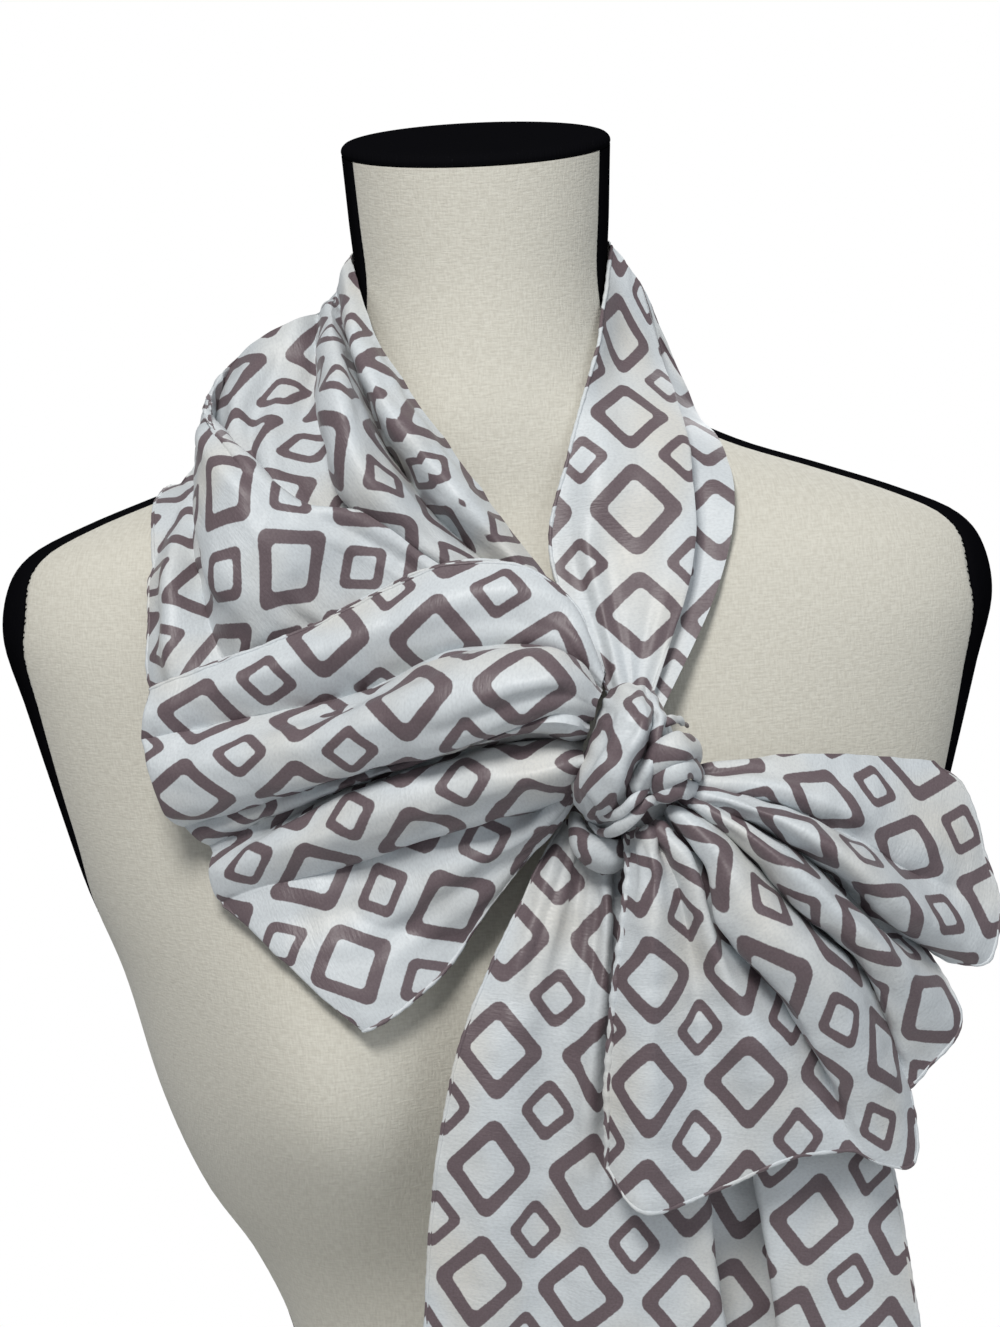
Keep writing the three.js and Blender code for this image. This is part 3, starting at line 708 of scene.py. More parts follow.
cloud = satin.grain(along, across, 0.03, 0.03)
speckle = satin.grain(along, across, 0.0008, 0.0008, 2.0)
ground = satin.colour_mix(cloud, COOL_WHITE, PALE_WHITE)
# painted bounce light and shade: warm beige patches laid at random over the cloth's white
painted_bounce = satin.grain(along, across, 0.055, 0.035, 1.0)
painted_bounce = satin.add("MapRange", {0: painted_bounce, 1: 0.48, 2: 0.72, 3: 0.0, 4: 0.55})
ground = satin.colour_mix(painted_bounce, ground, PAINTED_BOUNCE_WHITE)
mauve = satin.colour_mix(speckle, DARK_MAUVE, LIGHT_MAUVE)
fleck = satin.grain(along, across, 0.0008, 0.0012, 1.0)
fleck = satin.add("MapRange", {0: fleck, 1: 0.4, 2: 0.75, 3: 0.0, 4: 0.28})
printed = satin.colour_mix(ink, satin.colour_mix(fleck, ground, OPEN_WEAVE), mauve)
satin.put(satin.surface.inputs["Base Color"], printed)

# %% Its ribs and dents
RIB_DEEP, DENT_DEEP = 0.00016, 0.0005

ribs = satin.grain(along, across, 0.0009, 0.0032, 1.0)
dents = satin.grain(along, across, 0.011, 0.016, 2.0)
ribbed = satin.bumps(ribs, RIB_DEEP)
satin.put(satin.surface.inputs["Normal"], satin.bumps(dents, DENT_DEEP, ribbed))
print("satin:", len(satin.tree.nodes), "nodes")

# %% [markdown]
# ## From a table of folds to cloth
# A stretch of cloth is a grid with rows that run along the scarf and columns across it. Its table gives the
# crests and the valleys; valleys are made sharp and crests stay round, as in real cloth, where the cloth
# bulges between creases. Then the small creases are pressed in, each listed from one place to another with
# its own width and depth, and a slow unevenness is laid over all, so that no panel is perfectly smooth.

# %% Folded cloth
VALLEY_SHARP = 0.85
FINE_STEPS = 600  # across the cloth, to measure its width


def shares(count):
    return np.linspace(0, 1, count)


def folded_cloth(folds, valleys, s, t):
    """The grid of a folded cloth at shares s along it and t across it, t being shares of its width."""
    rows = np.array(list(folds.values()), float)
    lines = np.moveaxis(smooth_through(np.moveaxis(rows, 1, 0), s), 1, 0)
    sharp = [VALLEY_SHARP if name in valleys else 0 for name in folds]
    fine = shares(FINE_STEPS)
    wide = run_along(smooth_through(lines, fine, sharp), 0).mean(axis=1)
    return np.moveaxis(smooth_through(lines, np.interp(t, wide / wide[-1], fine), sharp), 0, 1)


def spread_of(grid):
    """How spread out each row of a grid is: 1 at its widest and less where it is gathered."""
    wide = np.linalg.norm(np.diff(grid, axis=1), axis=-1).sum(axis=1)
    return wide / wide.max(), wide


def at_shares(grid, s, t):
    """Places on a grid at shares along and across it."""
    i, j = s * (grid.shape[0] - 1), t * (grid.shape[1] - 1)
    i0 = np.clip(i.astype(int), 0, grid.shape[0] - 2)
    j0 = np.clip(j.astype(int), 0, grid.shape[1] - 2)
    u, v = (i - i0)[:, None], (j - j0)[:, None]
    near = grid[i0, j0] * (1 - v) + grid[i0, j0 + 1] * v
    far = grid[i0 + 1, j0] * (1 - v) + grid[i0 + 1, j0 + 1] * v
    return near * (1 - u) + far * u


two_folds = {"low": ((0, 0, 0), (9, 0, 0)), "high": ((0, 0, 6), (9, 0, 6))}
small_sheet = folded_cloth(two_folds, (), shares(3), shares(3))
print("the middle of a sheet 9 by 6:", at_shares(small_sheet, np.array([0.5]), np.array([0.5]))[0])

# %% Creases
CREASE_STEPS = 48
CREASE_BEGINS, CREASE_ENDS = 0.25, 0.45  # the shares of its length over which it deepens and dies out
CREASE_IN_GATHERS = 0.3  # how wide and deep it stays where the cloth is gathered to nothing
LIP_HIGH, LIP_OUT, LIP_WIDE = 0.4, 1.8, 0.8  # the swell beside a crease, as shares of its depth and width


def creased(grid, creases):
    """Each: from (along, across), to (along, across), bow, width and depth in mm; a ridge is negative."""
    normals = grid_normals(grid)
    lift = np.zeros(grid.shape[:2])
    spread = spread_of(grid)[0]
    k = shares(CREASE_STEPS)
    for start, stop, bow, wide, deep in creases:
        s = start[0] + (stop[0] - start[0]) * k
        t = start[1] + (stop[1] - start[1]) * k + bow * np.sin(np.pi * k)
        line = at_shares(grid, np.clip(s, 0, 1), np.clip(t, 0, 1))
        room = CREASE_IN_GATHERS + (1 - CREASE_IN_GATHERS) * np.interp(s, shares(len(spread)), spread)
        gap = np.linalg.norm(grid[:, :, None] - line, axis=-1)
        nearest = gap.argmin(axis=-1)
        x = gap.min(axis=-1) / (wide * room[nearest])
        begin = 1 if start[0] <= 0 else smooth_step(0, CREASE_BEGINS, k)
        finish = smooth_step(0, CREASE_ENDS, 1 - k)
        fade = (begin * finish * room)[nearest]
        lip = LIP_HIGH * np.exp(-(((x - LIP_OUT) / LIP_WIDE) ** 2))
        lift -= deep * fade * (np.exp(-(x**2)) - lip)
    return grid + normals * lift[..., None]


flat_sheet = folded_cloth(two_folds, (), shares(40), shares(40))
crossed = creased(flat_sheet, (((0.0, 0.5), (1.0, 0.5), 0, 1, 2),))
print("from the bottom of a crease 2 mm deep to its lips:", np.ptp(crossed[..., 1]).round(1), "mm")

# %% Unevenness and gathers
WAVES = 8


def uneven(places, size, seed):
    """Slow waves, mostly between -1 and 1 high and about that size in metres."""
    chance = np.random.default_rng(seed)
    total = np.zeros(places.shape[:2])
    for _ in range(WAVES):
        turn = chance.uniform(0, 2 * np.pi)
        pitch = size * chance.uniform(0.7, 1.6)
        way = np.array([math.cos(turn), math.sin(turn)])
        total += np.sin(2 * np.pi * (places @ way) / pitch + chance.uniform(0, 2 * np.pi))
    return 2 * total / WAVES


waves = uneven(np.stack(np.meshgrid(shares(50), shares(50)), axis=-1), 0.2, 1)
print("unevenness from", waves.min().round(1), "to", waves.max().round(1))


def gathered(grid, gathers, seed):
    """Pleats that start where the cloth is gathered, at share 0; each row: count, reach, height in mm."""
    chance = np.random.default_rng(seed)
    s, t = shares(grid.shape[0])[:, None], shares(grid.shape[1])[None]
    wide = spread_of(grid)[1][:, None]
    lift = np.zeros(grid.shape[:2])
    for count, reach, height in gathers:
        place = count * t
        for k in (1, 2, 3):
            sway, start = chance.uniform(-0.6, 0.6), chance.uniform()
            place = place + chance.uniform(0.1, 0.45) / k * np.sin(2 * np.pi * (k * t + sway * s + start))
        which = np.floor(place).astype(int) + 3
        tall = chance.uniform(0.35, 1.25, count + 8)[which]
        far = reach * chance.uniform(0.6, 1.3, count + 8)[which]
        fade = smooth_step(0, 1, 1 - s / far) * smooth_step(-0.02, 0.05, s)
        lift += np.minimum(height, 0.35 * wide / count) * tall * fade * np.abs(np.sin(np.pi * place))
    return grid + grid_normals(grid) * lift[..., None]


# %% [markdown]
# ## Laying the cloth flat
# The print was made on flat cloth, and cloth hardly stretches. So the folded surface is laid flat again: a
# coarse net of its points is moved about in the plane until each thread of the net, warp along the scarf or
# weft across it, and each diagonal is as long as it is on the surface. All the while the net is evened out,
# strongly at first, so that it can't zigzag. What is left is each point's place on the flat scarf, which is
# where the print is looked up. The middle of one big square is pinned to a chosen place, and the net turned
# about it.

# %% The net's threads
NET_ALONG, NET_ACROSS = 61, 81
MOST_SKEW = 0.4  # how far a mesh of the net may lean, as a share of its size


def first_layout(across, warp):
    """Each row of the net a straight line, turned where one side of the strip is longer than the other."""
    middle = across.shape[1] // 2
    place, lean, rows = np.zeros(2), 0.0, []
    for k, row in enumerate(across):
        off = row - row[middle]
        rows.append(place + off[:, None] * (-math.sin(lean), math.cos(lean)))
        if k < len(warp):
            turn = -np.polyfit(off, warp[k], 1)[0]
            ahead = lean + turn / 2
            place = place + warp[k].mean() * np.array([math.cos(ahead), math.sin(ahead)])
            lean += turn
    return np.array(rows)


def net_threads(grid, rows, cols, warp, weft):
    """The net's threads and diagonals: which points each joins, and how long it is on the surface."""
    skew = (np.diff(grid, axis=0)[:, :-1] * np.diff(grid, axis=1)[:-1]).sum(-1)
    skew = np.add.reduceat(np.add.reduceat(skew, rows[:-1], axis=0), cols[:-1], axis=1)
    square = ((warp[:, 1:] + warp[:, :-1]) / 2) ** 2 + ((weft[1:] + weft[:-1]) / 2) ** 2
    skew = np.clip(skew, -MOST_SKEW * square, MOST_SKEW * square)
    every, but_last, but_first = slice(None), slice(None, -1), slice(1, None)
    return (
        ((but_last, every), (but_first, every), warp),
        ((every, but_last), (every, but_first), weft),
        ((but_last, but_last), (but_first, but_first), np.sqrt(square + 2 * skew)),
        ((but_first, but_last), (but_last, but_first), np.sqrt(square - 2 * skew)),
    )


print("the net has", NET_ALONG, "by", NET_ACROSS, "points")

# %% Flattening
NET_TURNS, EVENING_TURNS = 900, 500
EVENING, LAST_EVENING = 0.03, 0.010
NET_STEP = 0.3


def laid_flat(grid, turns=NET_TURNS):
    """Each point's place on the flat cloth in millimetres, from anywhere and at any turn."""
    rows = np.linspace(0, grid.shape[0] - 1, NET_ALONG).round().astype(int)
    cols = np.linspace(0, grid.shape[1] - 1, NET_ACROSS).round().astype(int)
    fine_along, fine_across = run_along(grid, 0), run_along(grid, 1)
    warp = np.diff(fine_along[np.ix_(rows, cols)], axis=0)
    weft = np.diff(fine_across[np.ix_(rows, cols)], axis=1)
    flat = first_layout(fine_across[np.ix_(rows, cols)], warp)
    threads = net_threads(grid, rows, cols, warp, weft)
    for turn in range(turns):
        move = np.zeros_like(flat)
        for one, other, long in threads:
            gap = flat[other] - flat[one]
            pull = gap * (0.5 - 0.5 * long / np.maximum(np.linalg.norm(gap, axis=-1), 1e-6))[..., None]
            move[one] += pull
            move[other] -= pull
        flat += NET_STEP * move
        evening = EVENING if turn < EVENING_TURNS else LAST_EVENING
        flat[1:-1] += evening * (flat[:-2] + flat[2:] - 2 * flat[1:-1])
        flat[:, 1:-1] += evening * (flat[:, :-2] + flat[:, 2:] - 2 * flat[:, 1:-1])
    u = np.array([np.interp(run, run[rows], np.arange(NET_ALONG)) for run in fine_along.T]).T
    v = np.array([np.interp(run, run[cols], np.arange(NET_ACROSS)) for run in fine_across])
    places = at_shares(flat, (u / (NET_ALONG - 1)).ravel(), (v / (NET_ACROSS - 1)).ravel())
    return places.reshape(*grid.shape[:2], 2)


def with_square_at(flat, middle, turn):
    """Moves a big square's middle to that place on the flat cloth and turns the print; in metres."""
    c, s = math.cos(math.radians(turn)), math.sin(math.radians(turn))
    return (flat - np.array(middle)) @ np.array([[c, -s], [s, c]]) * MM


def flat_places(grid, corner):
    """Where each point of a small roll is on the flat cloth, in metres, by lengths along and across it."""
    return np.stack([run_along(grid, 0), run_along(grid, 1)], axis=-1) * MM + corner


print("the net is settled in", NET_TURNS, "turns")

# %% A cloth piece
CLOTH_HALF_WALL = 0.3
CLOTH_CLEAR = 1.0  # from the form's skin to the middle of the cloth


def drawn_cloth(folds, valleys, rows, columns, gathers, seed, creases):
    """A stretch of cloth from its tables: folded, gathered, creased and kept clear of the form."""
    grid = folded_cloth(folds, valleys, shares(rows), shares(columns))
    return clear_of_form(creased(gathered(grid, gathers, seed), creases), CLOTH_CLEAR)


def cloth_wall(name, grid, places, replaces=()):
    return wall_piece(name, grid, places, CLOTH_HALF_WALL, CLOTH_HALF_WALL, satin, replaces)


def cloth_piece(name, grid, places, replaces, rough, seed):
    """Lays the unevenness over a grid, keeps it clear of the form and makes the wall."""
    lift = uneven(places, 0.028, seed) + 0.5 * uneven(places, 0.012, seed + 50)
    grid = grid + grid_normals(grid) * (rough * lift)[..., None]
    grid = clear_of_form(grid, CLOTH_CLEAR)
    piece = cloth_wall(name, grid, places, replaces)
    area = np.linalg.norm(np.cross(np.diff(grid, axis=0)[:, :-1], np.diff(grid, axis=1)[:-1]), axis=-1).sum()
    print(name, "cloth area", round(area / 100), "square cm")
    return grid, piece


# %% [markdown]
# ## The rolled hem
# The scarf's edges are rolled and slip-stitched by hand. A roll is a thin tube along the edge, and each
# stitch pinches it, so its radius goes in and out along the way.

# %% Hems
HEM_RADIUS = 0.8
HEM_PINCH, PINCH_DEEP = 5.5, 0.14  # the pitch of the slip stitches, and how deep each pinches
HEM_SWAY, SWAY_DEEP = 17, 0.08  # a slower change of its thickness
AROUND_HEM = np.linspace(0, 2 * np.pi, 10)[:9]


def hem_along(name, line, inwards, normals, places, turned, thick):
    """A thin roll along an edge, pinched at each stitch; turned is the way round it on the flat cloth."""
    run = run_along(line, 0)
    pinch = PINCH_DEEP * np.sin(2 * np.pi * run / HEM_PINCH)
    radius = thick * (1 + pinch + SWAY_DEEP * np.sin(2 * np.pi * run / HEM_SWAY))
    outwards, inwards = unit(normals), unit(inwards)
    middle = line + inwards * thick * 0.5
    rings = [middle + radius[:, None] * (outwards * math.cos(a) - inwards * math.sin(a)) for a in AROUND_HEM]
    points = np.stack(rings, axis=1).reshape(-1, 3)
    at = np.arange(len(points)).reshape(len(line), len(AROUND_HEM))
    onward = np.roll(at, -1, axis=1)
    quads = np.stack([at[:-1], onward[:-1], onward[1:], at[1:]], axis=-1).reshape(-1, 4)
    around = (AROUND_HEM * thick * 0.5 * MM)[None, :, None] * np.asarray(turned, float)
    return add_piece(name, points, quads, (places[:, None] + around).reshape(-1, 2), satin)


def hem_of(name, grid, places, side, thick=HEM_RADIUS):
    """The hem along one side of a grid: first or last across (a selvage), or the end along it."""
    normals = grid_normals(grid)
    if side == "end":
        return hem_along(name, grid[-1], grid[-2] - grid[-1], normals[-1], places[-1], (1, 0), thick)
    edge, inner = (0, 1) if side == "first" else (-1, -2)
    inwards = grid[:, inner] - grid[:, edge]
    return hem_along(name, grid[:, edge], inwards, normals[:, edge], places[:, edge], (0, 1), thick)


print("hems", 2 * HEM_RADIUS, "mm thick, pinched every", HEM_PINCH, "mm")

# %% [markdown]
# ## The cloth round the neck
# From the knot the scarf goes up over one shoulder in deep loose folds, round the nape, and comes down the
# other side lying flat with its outer margin folded under. It is one length of cloth, so the three stretches
# are drawn to meet edge to edge: the nape's curve runs on through the last part of its neighbours.
# The print is laid out twice, once going up with the drape and the nape and once coming down with the nape
# and the band. Over the nape the first eases into the second, so that it doesn't jump anywhere.

# %% The drape's folds
# places along the drape: knot, under the loop, breast, chest, collar, shoulder
DRAPE_FOLDS = {
    "inner_edge": (
        (37, -101, 553), (18, -84, 584), (-4, -73, 617),
        (-26, -60, 650), (-42, -38, 679), (-49, -4, 705),
    ),
    "neck_roll": (
        (36, -105, 550), (15, -93, 583), (-10, -88, 616),
        (-33, -76, 648), (-47, -50, 675), (-53, -8, 701),
    ),
    "neck_lip": (
        (35, -104, 549), (11, -91, 582), (-19, -84, 616),
        (-40, -72, 647), (-50, -46, 673), (-55, -6, 695),
    ),
    "neck_hollow": (
        (35, -100, 547), (7, -84, 580), (-23, -68, 611),
        (-41, -48, 640), (-50, -24, 670), (-56, 3, 693),
    ),
    "band_lip": (
        (35, -103, 546), (-2, -90, 584), (-33, -84, 621),
        (-44, -72, 646), (-52, -38, 671), (-57, -3, 689),
    ),
    "middle_roll": (
        (34, -106, 545), (-11, -94, 586), (-42, -96, 623),
        (-52, -84, 652), (-56, -48, 673), (-58, -10, 688),
    ),
    "middle_lip": (
        (34, -104, 544), (-18, -92, 590), (-52, -88, 617),
        (-60, -78, 648), (-61, -42, 671), (-61, -8, 686),
    ),
    "middle_hollow": (
        (33, -101, 543), (-20, -86, 593), (-51, -70, 613),
        (-61, -50, 639), (-64, -18, 664), (-64, 0, 684),
    ),
    "slope": (
        (33, -103, 542), (-23, -88, 595), (-58, -74, 612),
        (-75, -56, 634), (-79, -26, 658), (-72, -8, 682),
    ),
    "high_slope": (
        (33, -103, 541), (-27, -88, 597), (-65, -76, 612),
        (-86, -58, 634), (-94, -28, 656), (-87, -6, 675),
    ),
    "belly_hollow": (
        (32, -101, 540), (-30, -86, 598), (-70, -76, 610),
        (-91, -58, 629), (-103, -28, 643), (-99, 0, 666),
    ),
    "belly_brow": (
        (32, -104, 539), (-32, -92, 603), (-69, -94, 617),
        (-91, -84, 637), (-103, -52, 651), (-103, -14, 660),
    ),
    "belly": (
        (30, -105, 536), (-48, -95, 582), (-76, -103, 598),
        (-94, -98, 615), (-105, -72, 634), (-107, -22, 649),
    ),
    "low_belly": (
        (29, -105, 534), (-60, -95, 562), (-87, -101, 577),
        (-100, -97, 594), (-107, -74, 616), (-110, -24, 638),
    ),
    "side_hollow": (
        (28, -102, 532), (-76, -92, 546), (-98, -88, 561),
        (-106, -74, 584), (-110, -54, 608), (-113, -8, 629),
    ),
    "side_roll": (
        (28, -103, 531), (-89, -93, 534), (-115, -92, 554),
        (-119, -82, 581), (-118, -64, 602), (-117, -12, 624),
    ),
    "outer_edge": (
        (27, -100, 529), (-97, -86, 526), (-124, -79, 545),
        (-127, -70, 571), (-126, -56, 594), (-123, -1, 619),
    ),
}
DRAPE_VALLEYS = ("neck_hollow", "middle_hollow", "belly_hollow", "side_hollow")
print("the drape:", len(DRAPE_FOLDS), "fold lines")

# %% The band's folds
BAND_FOLDS = {
    "inner_edge": ((38, -103, 543), (20, -76, 591), (29, -61, 630), (42, -36, 669), (50, -4, 705)),
    "middle": ((44, -106, 541), (41, -80, 590), (44, -64, 629), (53, -20, 668), (55, -6, 698)),
    "fold": ((52, -105, 539), (71, -79, 588), (73, -56, 628), (67, -12, 662), (60, -6, 691)),
    "under_fold": ((52, -101, 538), (68, -72, 587), (71, -50, 622), (69, -5, 655), (63, -3, 685)),
    "outer_edge": ((56, -102, 536), (81, -75, 580), (89, -54, 615), (80, -5, 641), (67, -1, 675)),
}
BAND_VALLEYS = ("fold",)
print("the band:", len(BAND_FOLDS), "fold lines")

# %% Their creases and gathers
# a crease: from (along, across), to (along, across), bow, width, depth
# a row of gathers: how many, how far they reach along the cloth, how high
DRAPE_CREASES = (
    ((0.00, 0.30), (0.35, 0.34), 0.00, 3.0, 2.2),
    ((0.00, 0.62), (0.45, 0.60), 0.02, 3.5, 2.4),
    ((0.00, 0.78), (0.38, 0.74), 0.00, 3.0, 2.0),
    ((0.40, 0.71), (0.85, 0.69), 0.02, 8.0, 1.4),
    ((0.45, 0.61), (0.95, 0.56), 0.02, 4.5, 3.4),
    ((0.50, 0.52), (0.98, 0.44), -0.02, 4.5, 4.0),
    ((0.62, 0.42), (0.98, 0.36), 0.00, 3.5, 2.4),
    ((0.50, 0.28), (0.85, 0.25), 0.00, 4.0, -1.0),
    ((0.35, 0.03), (0.85, 0.03), 0.00, 3.0, -0.8),
    ((0.35, 0.97), (0.90, 0.97), 0.00, 5.0, 1.4),
    ((0.50, 0.84), (0.90, 0.82), 0.00, 6.0, 2.0),
)
BAND_CREASES = (
    ((0.0, 0.22), (0.38, 0.16), 0.0, 3.0, 1.6),
    ((0.0, 0.48), (0.22, 0.52), 0.0, 3.0, 1.0),
    ((0.15, 0.12), (0.60, 0.30), 0.0, 6.0, 1.0),
    ((0.45, 0.40), (0.85, 0.15), 0.0, 7.0, -0.8),
    ((0.10, 0.80), (0.70, 0.75), 0.0, 3.0, 1.2),
)
DRAPE_GATHERS = ((16, 0.12, 1.4), (8, 0.26, 2.2))
BAND_GATHERS = ((3, 0.20, 0.9),)
print("creases on the drape and the band:", len(DRAPE_CREASES), len(BAND_CREASES))

# %% The nape's folds
NAPE_SECTIONS = (  # inner edge, outer edge, how far the middle bulges
    ((-38, 44, 711), (-88, 64, 622), 8),
    ((0, 58, 712), (-4, 80, 630), 6),
    ((38, 44, 711), (58, 62, 647), 5),
)
NAPE_FOLDS, NAPE_FOLD_HIGH = 4, 3.0
NAPE_CREASES = (
    ((0.05, 0.30), (0.60, 0.36), 0.02, 4.0, 2.0),
    ((0.20, 0.62), (0.95, 0.52), 0.03, 4.5, 2.4),
    ((0.05, 0.84), (0.50, 0.80), 0.0, 5.0, 1.8),
    ((0.45, 0.18), (0.95, 0.22), 0.0, 3.5, 1.6),
    ((0.35, 0.48), (0.85, 0.44), -0.02, 5.0, -1.6),
)


def nape_grid(before, after, s, t):
    """The nape runs on from two rows of the drape and into two rows of the band."""
    middles = []
    for inner, outer, bulge in NAPE_SECTIONS:
        p = np.array(inner) + (np.array(outer) - np.array(inner)) * t[:, None]
        fold = NAPE_FOLD_HIGH * np.sin(2 * np.pi * (NAPE_FOLDS * t + 0.1))
        middles.append(p + unit(form_slope(p)) * (bulge * np.sin(np.pi * t) + fold)[:, None])
    return smooth_through(np.array([*before, *middles, *after]), (1 + 4 * s) / 6)


print("nape sections:", len(NAPE_SECTIONS))

# %% The whole way round
NECK_COLUMNS = 190
DRAPE_RUNS_ON, BAND_RUNS_ON = 22, 14  # rows back from the seam to the place where the nape's curve starts

drape = drawn_cloth(DRAPE_FOLDS, DRAPE_VALLEYS, 170, NECK_COLUMNS, DRAPE_GATHERS, 3, DRAPE_CREASES)
band = drawn_cloth(BAND_FOLDS, BAND_VALLEYS, 110, NECK_COLUMNS, BAND_GATHERS, 4, BAND_CREASES)
before, after = (drape[-DRAPE_RUNS_ON], drape[-1]), (band[-1], band[-BAND_RUNS_ON])
nape = nape_grid(before, after, shares(80), shares(NECK_COLUMNS))
nape = clear_of_form(creased(nape, NAPE_CREASES), CLOTH_CLEAR)
print("rows of the drape, the nape and the band:", len(drape), len(nape), len(band))

# %% Its print and its pieces
up_the_neck = laid_flat(np.concatenate([drape, nape]))
down_the_neck = laid_flat(np.concatenate([nape, band[::-1]]))
print_going_up = with_square_at(up_the_neck, (150, -42), 48)
print_going_down = with_square_at(down_the_neck, (-101, -102), 119)
ease = smooth_step(0, len(nape) - 1, np.arange(len(nape)))[:, None, None]
drape_places = print_going_up[: len(drape)]
nape_places = print_going_up[len(drape) :] * (1 - ease) + print_going_down[: len(nape)] * ease
band_places = print_going_down[len(nape) :][::-1]
drape, shoulder_drape = cloth_piece("draped_shoulder", drape, drape_places, ["shoulder_drape"], 0.6, 11)
nape, nape_piece = cloth_piece("round_the_nape", nape, nape_places, ["nape_stretch"], 0.5, 13)
band, flat_band = cloth_piece("flat_side_band", band, band_places, ["flat_band"], 0.35, 12)
drape_hem = hem_of("draped_shoulder_hem", drape, drape_places, "last")
band_hem = hem_of("flat_side_band_hem", band, band_places, "first")

# %% [markdown]
# ## The bow's loop
# The loop goes out from the knot, turns back at its far end and returns behind itself. Its front layer is
# drawn as folds, and a point's share along the loop first goes out along them and then back, while the
# cloth moves behind by the loop's thickness: a half circle seen from above.

# %% The loop's folds
# places along: root, near, middle, far, tip
LOOP_FOLDS = {
    "top_edge": ((35, -126, 555), (18, -117, 586), (-16, -112, 593), (-70, -106, 572), (-125, -101, 553)),
    "panel": ((35, -130, 552), (19, -127, 574), (-16, -124, 578), (-70, -116, 562), (-127, -106, 544)),
    "panel_hollow": (
        (34, -126, 548), (17, -122, 558), (-17, -116, 557), (-60, -109, 547), (-128, -104, 535),
    ),
    "roll_brow": ((34, -130, 548), (16, -140, 564), (-17, -138, 563), (-58, -120, 546), (-127, -108, 532)),
    "roll": ((32, -142, 546), (15, -154, 555), (-21, -151, 549), (-67, -133, 535), (-125, -112, 522)),
    "roll_lip": ((31, -138, 541), (14, -146, 544), (-22, -142, 533), (-63, -126, 520), (-121, -110, 508)),
    "root_gap": ((30, -128, 538), (16, -130, 545), (-20, -124, 532), (-61, -114, 520), (-116, -103, 503)),
    "small_roll": ((29, -142, 537), (14, -148, 541), (-19, -133, 530), (-60, -119, 517), (-111, -104, 498)),
    "crease": ((28, -126, 531), (13, -120, 532), (-18, -112, 528), (-57, -105, 516), (-105, -99, 494)),
    "lower_brow": ((27, -132, 529), (12, -134, 529), (-19, -130, 525), (-56, -120, 513), (-106, -104, 492)),
    "lower_roll": ((27, -142, 526), (12, -145, 523), (-21, -139, 517), (-62, -129, 503), (-107, -109, 487)),
    "lower_lip": ((26, -134, 519), (11, -134, 512), (-23, -130, 503), (-57, -122, 492), (-105, -109, 478)),
    "lower_hollow": (
        (25, -124, 516), (10, -120, 508), (-22, -118, 501), (-55, -114, 490), (-101, -106, 473),
    ),
    "flap": ((24, -129, 514), (5, -126, 498), (-27, -123, 484), (-54, -121, 473), (-89, -112, 465)),
    "low_flap": ((24, -126, 512), (2, -121, 490), (-30, -119, 468), (-54, -118, 453), (-74, -113, 450)),
    "bottom_edge": ((23, -121, 510), (-3, -116, 480), (-21, -115, 454), (-41, -115, 439), (-58, -114, 428)),
}
LOOP_VALLEYS = ("panel_hollow", "root_gap", "crease", "lower_hollow")
LOOP_CREASES = (
    ((0.02, 0.05), (0.20, 0.08), 0.00, 5.0, 1.6),
    ((0.02, 0.12), (0.24, 0.15), 0.01, 5.0, 1.8),
    ((0.14, 0.20), (0.36, 0.19), 0.01, 6.0, 1.8),
    ((0.03, 0.29), (0.20, 0.32), 0.00, 3.0, 1.8),
    ((0.17, 0.34), (0.40, 0.36), 0.02, 5.0, 2.0),
    ((0.05, 0.52), (0.24, 0.55), 0.00, 3.5, 2.0),
    ((0.22, 0.58), (0.42, 0.61), -0.02, 5.0, 1.8),
    ((0.05, 0.68), (0.30, 0.72), 0.00, 4.0, 1.6),
    ((0.15, 0.80), (0.45, 0.82), 0.02, 7.0, 1.5),
    ((0.04, 0.88), (0.28, 0.90), 0.00, 4.0, 1.8),
    ((0.60, 0.30), (0.98, 0.35), 0.02, 6.0, 2.4),
    ((0.65, 0.60), (1.00, 0.62), 0.00, 5.0, 2.6),
    ((0.70, 0.80), (0.98, 0.78), 0.00, 6.0, 2.0),
)
LOOP_GATHERS = ((18, 0.10, 1.8), (10, 0.20, 2.4))
print("the loop:", len(LOOP_FOLDS), "fold lines")

# %% The loop
LOOP_PUFF = 14  # how far its back layer lies behind its front one
LOOP_STANDS, LOOP_BACK_STANDS = 10, 1  # how much farther than other cloth each layer keeps from the form


def loop_grid(s, t):
    behind = (1 - np.cos(np.pi * s))[:, None] / 2
    grid = folded_cloth(LOOP_FOLDS, LOOP_VALLEYS, np.sin(np.pi * s), t)
    grid[..., 1] += LOOP_PUFF * behind
    stands = LOOP_BACK_STANDS + (LOOP_STANDS - LOOP_BACK_STANDS) * (1 - behind)
    return clear_of_form(grid, CLOTH_CLEAR + stands)


loop = creased(gathered(loop_grid(shares(210), shares(200)), LOOP_GATHERS, 5), LOOP_CREASES)
loop_places = with_square_at(laid_flat(loop), (114, -93), 3)
loop, bow_loop = cloth_piece("bow_loop_cloth", loop, loop_places, ["bow_loop"], 0.6, 14)
loop_hems = [
    hem_of("bow_loop_hem_top", loop, loop_places, "first"),
    hem_of("bow_loop_hem_bottom", loop, loop_places, "last"),
]

# %% [markdown]
# ## The short end, fanned out
# Gathered in the knot, the short end opens like a fan. Its creases all start in the knot and die out on the
# way to the hem, so each crease starts at share 0 along the cloth.

